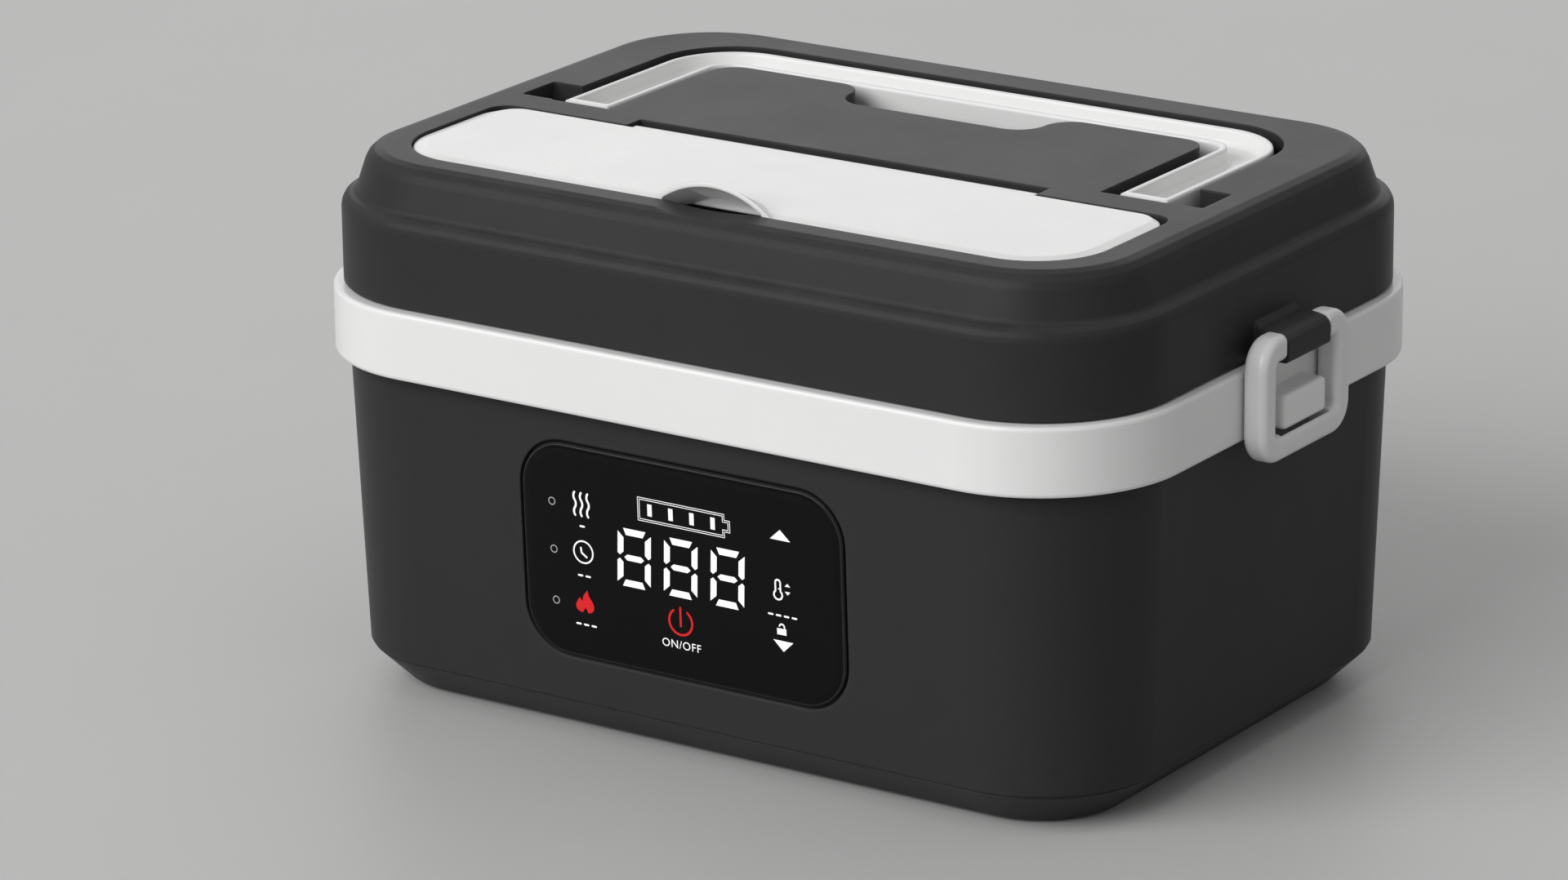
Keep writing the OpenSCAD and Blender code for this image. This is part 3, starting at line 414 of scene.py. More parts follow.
@dataclass(frozen=True)
class MouldedPlastic(Finish):
    """Satin moulded plastic or rubber, with mould grain, soft edges, wear and a little dust."""

    shade: Colour
    worn: Colour
    rough: Pair = (0.42, 0.52)
    specular: float = 0.4
    cells: float = 2600.0
    depth: float = 0.000012
    edge: float = 0.0005
    wear: float = 0.35
    dust: float = 0.05
    dust_colour: Colour = (0.55, 0.53, 0.5)

    def build(self) -> bpy.types.Material:
        """Build the material, as in Finish."""
        wear_reach, wear_polish, dust_rough = 2.2, -0.12, 0.3
        surface = Surface(self.name)
        grain = surface.effect(Effect.GRAIN, Cells=self.cells)
        wear = surface.effect(Effect.WEAR, Reach=self.edge * wear_reach)["Mask"]
        dust = surface.effect(Effect.DUST, Amount=self.dust)["Mask"]
        body = surface.blend(grain["Tone"], self.shade, self.colour)
        rubbed = surface.blend(surface.maths("MULTIPLY", wear, self.wear), body, self.worn)
        satin = surface.remap(grain["Tone"], 0.0, 1.0, self.rough[1], self.rough[0])
        polished = surface.maths("MULTIPLY_ADD", wear, wear_polish * self.wear, satin)
        rough = surface.maths("MULTIPLY_ADD", dust, dust_rough, polished, clamp=True)
        normal = surface.bump(grain["Height"], 0.6, self.depth, self.edge, samples=6)
        sockets = {
            "Base Color": surface.blend(dust, rubbed, self.dust_colour),
            "Roughness": rough,
            "Specular IOR Level": self.specular,
            "Normal": normal,
        }
        return surface.finish(sockets)


@dataclass(frozen=True)
class WorkedMetal(Finish):
    """Brushed, drawn or plated metal."""

    shade: Colour
    rough: Pair = (0.22, 0.38)
    lines: float = 9000.0
    depth: float = 0.000006
    turn: Triple = (0.0, 0.0, 0.0)
    edge: float = 0.0003

    def build(self) -> bpy.types.Material:
        """Build the material, as in Finish."""
        smudge_rough = 0.08
        surface = Surface(self.name)
        inputs = {"Vector": surface.place, "Rotation": self.turn}
        turned = surface.add("ShaderNodeMapping", inputs).outputs[0]
        brush = surface.effect(Effect.BRUSH, Place=turned, Lines=self.lines)
        smudge = surface.effect(Effect.SMUDGE)["Mask"]
        tone = surface.remap(brush["Tone"], low=0.35, high=0.65)
        satin = surface.remap(tone, 0.0, 1.0, self.rough[1], self.rough[0])
        rough = surface.maths("MULTIPLY_ADD", smudge, smudge_rough, satin, clamp=True)
        sockets = {
            "Base Color": surface.blend(tone, self.shade, self.colour),
            "Roughness": rough,
            "Metallic": 1.0,
            "Normal": surface.bump(brush["Height"], 0.5, self.depth, self.edge),
        }
        return surface.finish(sockets)


@dataclass(frozen=True)
class PolishedPanel(Finish):
    """Back-painted glass or glossy wrap, with faint hand smudges and a paler edge line that is
    partly a ground edge and partly a painted highlight.
    """

    shade: Colour
    # colour along the convex edges: partly a ground edge, partly a painted highlight
    rim: Colour
    rough: Pair = (0.07, 0.2)
    specular: float = 0.5
    coat: float = 0.6
    edge: float = 0.0004

    def build(self) -> bpy.types.Material:
        """Build the material, as in Finish."""
        surface = Surface(self.name)
        smudge = surface.effect(Effect.SMUDGE)["Mask"]
        slow = surface.noise(surface.place, scale=22.0, detail=3.0, rough=0.6)
        # Every convex edge takes the paler edge colour: partly a ground edge, partly a painted
        # highlight.
        line = surface.effect(Effect.WEAR, Reach=self.edge * 2)["Edge"]
        body = surface.blend(slow, self.shade, self.colour)
        wave = surface.noise(surface.place, scale=70.0)
        sockets = {
            "Base Color": surface.blend(line, body, self.rim),
            "Roughness": surface.remap(smudge, 0.0, 1.0, *self.rough),
            "Specular IOR Level": self.specular,
            "Coat Weight": self.coat,
            "Coat Roughness": 0.04,
            "Normal": surface.bump(wave, strength=0.15, depth=0.00002, edge=self.edge),
        }
        return surface.finish(sockets)


@dataclass(frozen=True)
class PanelInk(Finish):
    """Lit print behind the glass: an even diffuser with a very fine dot grain."""

    shade: Colour
    glow: float = 0.25

    def build(self) -> bpy.types.Material:
        """Build the material, as in Finish."""
        surface = Surface(self.name)
        dots = surface.noise(surface.place, scale=3800.0)
        low, high = 0.3, 0.7
        ink = surface.blend(surface.remap(dots, low, high), self.shade, self.colour)
        sockets = {
            "Base Color": ink,
            "Emission Color": ink,
            "Emission Strength": self.glow,
            "Roughness": surface.remap(dots, low, high, to_low=0.3, to_high=0.4),
        }
        return surface.finish(sockets)


@dataclass(frozen=True)
class PatternedSheet(Finish):
    """A sheet material with a cell pattern: heater foil, fibre felt or a circuit board."""

    mark: Colour
    cells: float
    share: float
    rough: Pair
    metal: float = 0.0
    depth: float = 0.00004

    def build(self) -> bpy.types.Material:
        """Build the material, as in Finish."""
        line_fade, grain_finer, shade_share, mark_height = 1.6, 4, 0.8, 0.5
        surface = Surface(self.name)
        inputs = {"Vector": surface.place, "Scale": self.cells}
        cells = surface.add("ShaderNodeTexVoronoi", inputs, feature="DISTANCE_TO_EDGE")
        away = cells.outputs["Distance"]
        mark = surface.remap(away, self.share, self.share * line_fade, 1.0, 0.0)
        grain = surface.effect(Effect.GRAIN, Cells=self.cells * grain_finer)
        shade = tuple(shade_share * c for c in self.colour)
        ground = surface.blend(grain["Tone"], shade, self.colour)
        height = surface.maths("MULTIPLY_ADD", mark, mark_height, grain["Height"])
        sockets = {
            "Base Color": surface.blend(mark, ground, self.mark),
            "Roughness": surface.remap(mark, 0.0, 1.0, *self.rough),
            "Normal": surface.bump(height, strength=0.6, depth=self.depth),
        }
        if self.metal:
            sockets["Metallic"] = surface.maths("MULTIPLY", mark, self.metal)
        return surface.finish(sockets)


GRAPHITE = MouldedPlastic(
    name="graphite_satin_plastic",
    colour=(0.0303, 0.0303, 0.031),
    shade=(0.0275, 0.0275, 0.0282),
    worn=(0.06, 0.06, 0.062),
    rough=(0.38, 0.44),
    specular=0.1,
    edge=0.0009,
    dust=0.035,
)
WHITE = MouldedPlastic(
    name="white_satin_plastic",
    colour=(0.79, 0.79, 0.785),
    shade=(0.765, 0.765, 0.76),
    worn=(0.83, 0.83, 0.825),
    rough=(0.26, 0.32),
    specular=0.5,
    depth=0.000004,
    edge=0.0008,
    dust=0.02,
)
LATCH_GREY = MouldedPlastic(
    name="latch_grey_plastic",
    colour=(0.74, 0.74, 0.74),
    shade=(0.71, 0.71, 0.71),
    worn=(0.78, 0.78, 0.78),
    rough=(0.27, 0.33),
    specular=0.5,
    depth=0.000004,
    edge=0.001,
    dust=0.02,
)
TRAY_BLACK = MouldedPlastic(
    name="tray_black_plastic",
    colour=(0.03, 0.03, 0.032),
    shade=(0.024, 0.024, 0.026),
    worn=(0.07, 0.07, 0.072),
    rough=(0.5, 0.62),
)
PART_BLACK = MouldedPlastic(
    name="part_black_plastic",
    colour=(0.022, 0.022, 0.024),
    shade=(0.016, 0.016, 0.018),
    worn=(0.06, 0.06, 0.062),
    rough=(0.34, 0.48),
    edge=0.0003,
)
LAMP_WHITE = MouldedPlastic(
    name="display_white_plastic",
    colour=(0.7, 0.7, 0.69),
    shade=(0.64, 0.64, 0.63),
    worn=(0.76, 0.76, 0.75),
)
CERAMIC = MouldedPlastic(
    name="glazed_ceramic",
    colour=(0.8, 0.79, 0.76),
    shade=(0.72, 0.71, 0.68),
    worn=(0.82, 0.81, 0.79),
    rough=(0.12, 0.24),
    depth=0.000004,
)
FOOT_RUBBER = MouldedPlastic(
    name="foot_rubber",
    colour=(0.021, 0.021, 0.022),
    shade=(0.016, 0.016, 0.017),
    worn=(0.05, 0.05, 0.05),
    rough=(0.72, 0.88),
    specular=0.25,
    cells=1700.0,
    depth=0.00003,
    dust=0.12,
)
SEAL_SILICONE = MouldedPlastic(
    name="seal_silicone",
    colour=(0.72, 0.72, 0.71),
    shade=(0.66, 0.66, 0.65),
    worn=(0.76, 0.76, 0.75),
    rough=(0.48, 0.6),
    specular=0.35,
    cells=1500.0,
)
STEEL = WorkedMetal(
    name="brushed_stainless", colour=(0.66, 0.66, 0.67), shade=(0.55, 0.55, 0.56)
)
DRAWN_ALUMINIUM = WorkedMetal(
    name="drawn_aluminium",
    colour=(0.74, 0.74, 0.75),
    shade=(0.66, 0.66, 0.67),
    rough=(0.3, 0.46),
    lines=5200.0,
    turn=(0.0, 0.0, math.pi / 2),
)
SHIELD_STEEL = WorkedMetal(
    name="zinc_plated_steel",
    colour=(0.58, 0.59, 0.6),
    shade=(0.46, 0.47, 0.49),
    rough=(0.3, 0.5),
    lines=3200.0,
)
SCREW_STEEL = WorkedMetal(
    name="plated_hardware",
    colour=(0.55, 0.55, 0.56),
    shade=(0.42, 0.42, 0.43),
    rough=(0.2, 0.34),
    edge=0.00015,
)
SENSOR_METAL = WorkedMetal(
    name="nickel_plate", colour=(0.62, 0.61, 0.59), shade=(0.5, 0.49, 0.47), rough=(0.24, 0.38)
)
NICKEL_STRIP = WorkedMetal(
    name="rolled_nickel", colour=(0.68, 0.66, 0.61), shade=(0.57, 0.55, 0.51), rough=(0.26, 0.4)
)
PANEL_GLASS = PolishedPanel(
    name="black_panel_glass",
    colour=(0.0024, 0.0024, 0.0025),
    shade=(0.0018, 0.0018, 0.0019),
    # paler edge colour: partly the glass's ground edge, partly a painted highlight
    rim=(0.13, 0.13, 0.132),
    rough=(0.09, 0.18),
    specular=0.11,
    coat=0.0,
)
CELL_WRAP = PolishedPanel(
    name="cell_shrink_wrap",
    colour=(0.05, 0.17, 0.42),
    shade=(0.04, 0.13, 0.34),
    # paler edge colour: a painted highlight along the wrap's edges
    rim=(0.08, 0.24, 0.52),
    rough=(0.18, 0.3),
    coat=0.3,
)
WHITE_INK = PanelInk(name="lit_white_print", colour=(0.92, 0.92, 0.93), shade=(0.86, 0.86, 0.88))
DIM_INK = PanelInk(
    name="dim_grey_print", colour=(0.42, 0.42, 0.43), shade=(0.36, 0.36, 0.37), glow=0.05
)
RED_INK = PanelInk(
    name="lit_red_print", colour=(0.66, 0.0015, 0.006), shade=(0.6, 0.001, 0.004), glow=0.16
)
HEATER_FOIL = PatternedSheet(
    name="etched_heater_foil",
    colour=(0.5, 0.2, 0.055),
    mark=(0.78, 0.56, 0.32),
    cells=210.0,
    share=0.12,
    rough=(0.4, 0.28),
    metal=1.0,
)
FIBRE_MAT = PatternedSheet(
    name="glass_fibre_felt",
    colour=(0.74, 0.71, 0.62),
    mark=(0.83, 0.81, 0.74),
    cells=900.0,
    share=0.07,
    rough=(0.9, 0.96),
    depth=0.0002,
)
CIRCUIT_BOARD = PatternedSheet(
    name="green_circuit_board",
    colour=(0.018, 0.13, 0.05),
    mark=(0.03, 0.22, 0.08),
    cells=260.0,
    share=0.05,
    rough=(0.32, 0.26),
)


# ---------------- small makers


def add_object(name: str, data: bpy.types.ID) -> bpy.types.Object:
    """Put an object in the scene.

    Args:
        name: Its name.
        data: Its stored mesh, lamp or camera.

    Returns:
        The new object, at the origin.
    """
    made = bpy.data.objects.new(name, data)
    bpy.context.scene.collection.objects.link(made)
    return made


def add_mesh(name: str, mesh: bmesh.types.BMesh) -> bpy.types.Object:
    """Put a modelled mesh in the scene.

    Args:
        name: Its name.
        mesh: The modelled mesh; it is freed.

    Returns:
        The new object, at the origin.
    """
    data = bpy.data.meshes.new(name)
    mesh.to_mesh(data)
    mesh.free()
    return add_object(name, data)


def finish_piece(
    mesh: bmesh.types.BMesh, name: str, material: bpy.types.Material, place: Matrix, body: str
) -> None:
    """Turn a bmesh into a piece of the object.

    Args:
        mesh: The modelled mesh, in its own coordinates; it is freed.
        name: The piece's name.
        material: Its finish.
        place: Where it goes in the frame, applied to the mesh.
        body: The body that it rides on.
    """
    bmesh.ops.transform(mesh, matrix=place, verts=mesh.verts)
    bmesh.ops.recalc_face_normals(mesh, faces=mesh.faces)
    piece = add_mesh(name, mesh)
    piece.data.materials.append(material)
    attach(piece, body)
    LOG.info("piece %s rides on %s with %d faces", name, body, len(piece.data.polygons))


@dataclass
class Artwork:
    """Flat artwork drawn in millimetres, then given its thickness."""

    mesh: bmesh.types.BMesh = field(default_factory=bmesh.new)

    def patch(self, points: list[Pair]) -> None:
        """Fill an outline of a few corners.

        Args:
            points: Corners, in order.
        """
        self.mesh.faces.new([self.mesh.verts.new((x, y, 0.0)) for x, y in points])

    def dot(self, x: float, y: float, radius: float) -> None:
        """Fill a small disc.

        Args:
            x: Centre.
            y: Centre.
            radius: Its radius.
        """
        place = Matrix.Translation((x, y, 0.0))
        bmesh.ops.create_circle(
            self.mesh, cap_ends=True, segments=DOT_SIDES, radius=radius, matrix=place
        )

    def arc(
        self, x: float, y: float, radius: float, width: float, start: float, sweep: float
    ) -> None:
        """Draw an arc or a ring.

        Args:
            x: Centre.
            y: Centre.
            radius: Radius of the line's middle.
            width: Width of the line.
            start: Angle where it starts, in degrees from +X.
            sweep: Angle that it covers, in degrees, anticlockwise.
        """
        turn = Matrix.Rotation(math.radians(start), 4, "Z")
        ends = [turn @ Vector((radius + side * width / 2, 0.0, 0.0)) for side in (-1, 1)]
        centre = Vector((x, y, 0.0))
        first = [self.mesh.verts.new(centre + end) for end in ends]
        bmesh.ops.spin(
            self.mesh,
            geom=[*first, self.mesh.edges.new(first)],
            cent=centre,
            axis=(0.0, 0.0, 1.0),
            angle=math.radians(sweep),
            steps=max(6, int(sweep / ARC_STEP)),
            use_merge=sweep == FULL_TURN,
        )

    def stroke(self, start: Pair, end: Pair, width: float) -> None:
        """Draw a straight line with rounded ends.

        Args:
            start: One end.
            end: The other end.
            width: Width of the line.
        """
        a, b = Vector(start), Vector(end)
        side = (b - a).normalized().orthogonal() * width / 2
        self.patch([tuple(a + side), tuple(a - side), tuple(b - side), tuple(b + side)])
        self.dot(*start, width / 2)
        self.dot(*end, width / 2)

    def frame_line(self, points: list[Pair], width: float) -> None:
        """Draw a closed outline with square corners.

        Args:
            points: Its corners, in order.
            width: Width of the line.
        """
        for start, end in zip(points, points[1:] + points[:1]):
            a, b = Vector(start), Vector(end)
            along = (b - a).normalized() * width / 2
            side = along.orthogonal()
            a, b = a - along, b + along
            self.patch([tuple(a + side), tuple(a - side), tuple(b - side), tuple(b + side)])

    def curve(self, data: bpy.types.Curve) -> None:
        """Take in a filled flat curve as a mesh.

        Args:
            data: The curve, drawn in millimetres; it is removed.
        """
        carrier = bpy.data.objects.new("carrier", data)
        flat = bpy.data.meshes.new_from_object(carrier)
        self.mesh.from_mesh(flat)
        bpy.data.objects.remove(carrier)
        bpy.data.curves.remove(data)
        bpy.data.meshes.remove(flat)

    def outline(self, points: list[tuple[float, float, bool]]) -> None:
        """Fill a smooth closed outline through a few points.

        Args:
            points: X and Y of each point, and whether it is a sharp tip.
        """
        data = bpy.data.curves.new("outline", "CURVE")
        data.dimensions, data.fill_mode, data.resolution_u = "2D", "BOTH", 8
        spline = data.splines.new("BEZIER")
        spline.bezier_points.add(len(points) - 1)
        for knot, (x, y, sharp) in zip(spline.bezier_points, points):
            knot.co = (x, y, 0.0)
            knot.handle_left_type = knot.handle_right_type = "VECTOR" if sharp else "AUTO"
        spline.use_cyclic_u = True
        self.curve(data)

    def words(self, text: str, x: float, y: float, cap: float) -> None:
        """Set a short generic legend, centred on a point.

        Args:
            text: What it says.
            x: Middle of the line.
            y: Baseline.
            cap: Height of its capitals.
        """
        data = bpy.data.curves.new("legend", "FONT")
        data.body, data.align_x, data.space_character = text, "CENTER", 1.1
        data.size, data.resolution_u = cap / CAP_SHARE, 6
        before = len(self.mesh.verts)
        self.curve(data)
        self.mesh.verts.ensure_lookup_table()
        bmesh.ops.translate(self.mesh, vec=(x, y, 0.0), verts=self.mesh.verts[before:])

    def thicken(self, height: float) -> bmesh.types.BMesh:
        """Give the flat drawing its thickness.

        Args:
            height: Thickness, in the drawing's units.

        Returns:
            The mesh, ready to be placed.
        """
        faces = list(self.mesh.faces)
        for face in faces:
            face.normal_update()
            if face.normal.z < 0:
                face.normal_flip()
        top = bmesh.ops.extrude_face_region(self.mesh, geom=faces, use_keep_orig=True)
        raised = [v for v in top["geom"] if isinstance(v, bmesh.types.BMVert)]
        bmesh.ops.translate(self.mesh, vec=(0.0, 0.0, height), verts=raised)
        return self.mesh


# ---------------- sub-assemblies

Finishes = tuple[tuple[Finish, tuple[str, ...]], ...]


@dataclass
class SubAssembly:
    """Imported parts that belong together, with their finishes."""

    frame: dict
    finishes: Finishes = ()

    def build(self) -> None:
        """Dress every part."""
        for finish, parts in self.finishes:
            material = material_of(finish)
            for name in parts:
                slots = self.frame["nodes"][name].data.materials
                slots.clear()
                slots.append(material)
                LOG.info("part %s is finished in %s", name, finish.name)


@dataclass
class LowerBody(SubAssembly):
    """Drafted housing, base, collar, feet and charging inlet."""

    finishes: Finishes = (
        (GRAPHITE, ("outer_housing", "base_cover")),
        (WHITE, ("collar_ring",)),
        (FOOT_RUBBER, ("rubber_feet", "panel_gasket")),
        (PART_BLACK, ("charge_socket",)),
        (SENSOR_METAL, ("socket_nut",)),
    )


@dataclass
class HeatedWell(SubAssembly):
    """Aluminium well with the heater stack, insulation and sensors under it."""

    finishes: Finishes = (
        (DRAWN_ALUMINIUM, ("heated_well", "heating_plate")),
        (HEATER_FOIL, ("heating_element",)),
        (FIBRE_MAT, ("insulation_mat",)),
        (SHIELD_STEEL, ("heat_shield",)),
        (SENSOR_METAL, ("temperature_sensor",)),
        (CERAMIC, ("thermal_fuse",)),
    )


@dataclass
class PowerPack(SubAssembly):
    """Battery, circuit boards and display lamp block."""

    finishes: Finishes = (
        (TRAY_BLACK, ("battery_tray",)),
        (CELL_WRAP, ("battery_cells",)),
        (NICKEL_STRIP, ("cell_links",)),
        (CIRCUIT_BOARD, ("main_board", "display_board")),
        (PART_BLACK, ("board_components",)),
        (LAMP_WHITE, ("led_display",)),
    )


@dataclass
class Container(SubAssembly):
    """The steel food container."""

    finishes: Finishes = ((STEEL, ("food_container",)),)


@dataclass
class Lid(SubAssembly):
    """Lid shell, liner, seal and cutlery tray, with every pin and screw."""

    finishes: Finishes = (
        (GRAPHITE, ("lid_shell",)),
        (WHITE, ("lid_liner", "cutlery_tray")),
        (SEAL_SILICONE, ("lid_seal",)),
        (SCREW_STEEL, ("lid_screws", "base_screws", "cover_pin", "handle_pins", "latch_pins")),
    )


@dataclass
class MovingTrim(SubAssembly):
    """The pale moving parts: carry handle, cutlery cover and the two latches."""

    finishes: Finishes = (
        (WHITE, ("carry_handle", "cutlery_cover")),
        (LATCH_GREY, ("latch_right", "latch_left")),
    )


@dataclass
class CutleryCover(SubAssembly):
    """The cutlery cover, with the hollow of its finger hood cut right down through the plate."""

    node: str = "cutlery_cover"
    front_mm: float = -67.6  # Y of the cover's front edge
    deck_mm: float = 139.4  # height of its top
    plate_mm: float = 3.3  # thickness of its plate
    hood_mm: float = 6.2  # rise of the hood
    half_mm: float = 17.0  # half the hood's width
    lean: float = math.radians(28.0)  # of the hood's axis
    wall_mm: float = 1.15  # wall left around the hollow
    reach_mm: float = 9.5  # how far back the hollow goes
    throat_mm: float = 14.4  # half the hollow's width
    clear_mm: float = 0.5  # cut past the underside
    mouth_mm: float = 3.0  # cut past the front edge

    def hollow(self) -> bmesh.types.BMesh:
        """Model what is cut away: a leaning rod, trimmed to the hood's throat.

        Returns:
            The closed mesh, in the frame.
        """
        upright = math.cos(self.lean)
        arc = (self.half_mm**2 / upright / self.hood_mm + self.hood_mm * upright) / 2
        radius, length, sides = arc - self.wall_mm, 80.0, 192
        rod = bmesh.new()
        bmesh.ops.create_cone(
            rod, cap_ends=True, segments=sides, radius1=radius, radius2=radius, depth=length
        )
        turn = Matrix.Rotation(-math.pi / 2 - self.lean, 4, "X")
        top = self.deck_mm + self.hood_mm - arc / upright
        place = Matrix.Translation((0.0, self.front_mm, top))
        bmesh.ops.transform(rod, matrix=place @ turn, verts=rod.verts)
        low = self.deck_mm - self.plate_mm - self.clear_mm
        for corner, outward in (
            ((self.throat_mm, 0.0, 0.0), (1.0, 0.0, 0.0)),
            ((-self.throat_mm, 0.0, 0.0), (-1.0, 0.0, 0.0)),
            ((0.0, self.front_mm + self.reach_mm, 0.0), (0.0, 1.0, 0.0)),
            ((0.0, self.front_mm - self.mouth_mm, 0.0), (0.0, -1.0, 0.0)),
            ((0.0, 0.0, low), (0.0, 0.0, -1.0)),
        ):
            everything = [*rod.verts, *rod.edges, *rod.faces]
            bmesh.ops.bisect_plane(
                rod, geom=everything, plane_co=corner, plane_no=outward, clear_outer=True
            )
            bmesh.ops.holes_fill(rod, edges=[e for e in rod.edges if e.is_boundary], sides=0)
        bmesh.ops.recalc_face_normals(rod, faces=rod.faces)
        bmesh.ops.scale(rod, vec=(MM, MM, MM), verts=rod.verts)
        return rod

    def carve(self) -> bpy.types.Mesh:
        """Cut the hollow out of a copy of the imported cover.

        Returns:
            The carved mesh.
        """
        cover = bmesh.new()
        cover.from_mesh(self.frame["nodes"][self.node].data)
        bmesh.ops.remove_doubles(cover, verts=cover.verts, dist=MERGE)
        blank, cutter = add_mesh("cover_blank", cover), add_mesh("hood_cutter", self.hollow())
        cut = blank.modifiers.new("cut", "BOOLEAN")
        cut.operation, cut.solver, cut.object = "DIFFERENCE", "EXACT", cutter
        finished = blank.evaluated_get(bpy.context.evaluated_depsgraph_get())
        carved = bpy.data.meshes.new_from_object(finished)
        carved.name = "hooded_cover"
        for spare in (blank, cutter):
            data = spare.data
            bpy.data.objects.remove(spare)
            bpy.data.meshes.remove(data)
        return carved

    def build(self) -> None:
        """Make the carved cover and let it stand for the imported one."""
        carved = self.carve()
        carved.materials.clear()
        carved.materials.append(material_of(WHITE))
        carved.shade_smooth()
        carved.set_sharp_from_angle(angle=math.radians(9.0))
        piece = add_object("hooded_cover", carved)
        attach(piece, "cover")
        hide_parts(self.node)
        LOG.info("%s stands for %s with %d faces", piece.name, self.node, len(carved.polygons))


# The flame's outline from its foot: X, Y, and whether the point is a sharp tip.
FLAME_MM = (
    (0.95, 6.1, True), (1.3, 4.6, False), (2.35, 3.1, False),
    (2.7, 1.6, False), (2.05, 0.45, False), (0.9, 0.1, True),
    (0.15, 1.55, True), (-0.75, 0.05, True), (-2.2, 0.55, False),
    (-2.7, 1.7, False), (-2.25, 2.8, False), (-1.55, 3.9, True),
    (-0.65, 3.05, True), (-0.35, 4.5, False),
)


@dataclass
class PanelArt(Artwork):
    """One drawing of the panel's print, with a method for each symbol."""

    left_mm: float = -29.1  # middle of the symbols on the left
    lamps_mm: float = -38.0  # middle of the ring lamps
    right_mm: float = 29.6  # middle of the touch keys on the right
    switch_mm: float = -0.6  # middle of the switch symbol and its legend
    digit_mm: Pair = (9.9, 15.2)  # width and height of a digit
    bar_mm: float = 1.75  # width of a digit's bars
    lean: float = 0.05  # how far a digit leans for each unit up

    def lamps(self) -> None:
        """Three small ring lamps down the left side."""
        radius, line = 0.92, 0.26
        for y in (12.3, -0.25, -13.7):
            self.arc(self.lamps_mm, y, radius, line, 0.0, FULL_TURN)

    def steam(self) -> None:
        """Three rising waves of warm air."""
        radius, line, pitch, half_rise, middle_y = 1.75, 0.58, 1.95, 1.0, 12.9
        half = math.degrees(math.asin(half_rise / radius))
        offset = radius * math.cos(math.radians(half))
        for shift in (-pitch, 0.0, pitch):
            x = self.left_mm + shift
            for step, side in ((1, 1), (0, -1), (-1, 1)):
                middle = 180.0 if side > 0 else 0.0
                y = middle_y + 2 * half_rise * step
                self.arc(x + side * offset, y, radius, line, middle - half, 2 * half)
            for step in (1, -1):
                self.dot(x, middle_y + 3 * half_rise * step, line / 2)

    def clock(self) -> None:
        """A clock face with two hands."""
        x, y, radius, line, hand = self.left_mm, 0.45, 2.85, 0.42, 0.5
        pivot = (x - 0.55, y - 0.2)
        self.arc(x, y, radius, line, 0.0, FULL_TURN)
        self.stroke((x - 0.7, y + 1.05), pivot, hand)
        self.stroke(pivot, (x + 0.95, y - 1.2), hand)

    def flame(self) -> None:
        """A flame with a smaller tongue on its left."""
        foot_x, foot_y = self.left_mm - 0.2, -15.6
        self.outline([(foot_x + x, foot_y + y, sharp) for x, y, sharp in FLAME_MM])

    def battery(self) -> None:
        """A battery outline in a double line, with four charge bars."""
        line, bar_half, bar_low, bar_high = 0.17, 0.65, 13.5, 16.6
        for inset in (0.0, 0.5):
            left, right = -12.1 + inset, 13.4 - inset
            low, high = 12.0 + inset, 18.0 - inset
            nub_low, nub_high = 13.5 + inset, 16.5 - inset
            nub = 15.0 - inset
            corners = [(left, low), (right, low), (right, nub_low), (nub, nub_low)]
            corners += [(nub, nub_high), (right, nub_high), (right, high), (left, high)]
            self.frame_line(corners, line)
        for x in (-8.6, -2.4, 3.8, 10.0):
            left, right = x - bar_half, x + bar_half
            self.patch([(left, bar_low), (right, bar_low), (right, bar_high), (left, bar_high)])

    def digit_bars(self) -> list[list[Pair]]:
        """Outlines of the seven bars of a digit, around its middle.

        Returns:
            The corners of each bar.
        """
        w, h = self.digit_mm[0] / 2, self.digit_mm[1] / 2
        t, half, gap = self.bar_mm, self.bar_mm * 0.44, 0.42
        corner, mitre, end, neck = 1.2, 0.5, 0.95, 0.7
        bars = []
        for s in (-1, 1):
            wide, narrow = w - corner - gap, w - corner - t + mitre
            y, inner_y = s * h, s * (h - t)
            bars.append([(-wide, y), (wide, y), (narrow, inner_y), (-narrow, inner_y)])
            for side in (-1, 1):
                outer, inner = side * w, side * (w - t)
                bar = [(outer, s * (h - end)), (outer, s * (0.55 + gap))]
                bar += [(outer - side * neck, s * (0.2 + gap * 0.6)), (inner, s * (end + gap))]
                bars.append([*bar, (inner, s * (h - t - 0.75))])
        tip, shoulder = w - 2.0, w - 2.9
        upper = [(-tip, 0.0), (-shoulder, half), (shoulder, half)]
        bars.append(upper + [(-x, -y) for x, y in upper])
        return bars

    def digits(self) -> None:
        """Three seven-bar digits, all bars lit."""
        pitch, middle_y = 13.8, 1.5
        for middle in (-pitch, 0.0, pitch):
            for bar in self.digit_bars():
                self.patch([(middle + x + self.lean * y, middle_y + y) for x, y in bar])

    def power(self) -> None:
        """The switch symbol: an open ring with a stroke at its top."""
        x, y, radius, line = self.switch_mm, -12.5, 3.4, 0.6
        gap = (53.0, 127.0)
        self.arc(x, y, radius, line, gap[1], FULL_TURN - gap[1] + gap[0])
        for angle in gap:
            a = math.radians(angle)
            self.dot(x + radius * math.cos(a), y + radius * math.sin(a), line / 2)
        self.stroke((x, y - 1.1), (x, y + 3.7), line)

    def legend(self) -> None:
        """The switch's ON/OFF legend."""
        self.words("ON/OFF", self.switch_mm, y=-19.6, cap=2.1)

    def arrows(self) -> None:
        """The up and down touch keys."""
        x = self.right_mm
        self.patch([(x - 2.95, 14.3), (x + 2.95, 14.3), (x, 17.0)])
        self.patch([(x - 2.9, -11.7), (x, -14.5), (x + 2.9, -11.7)])

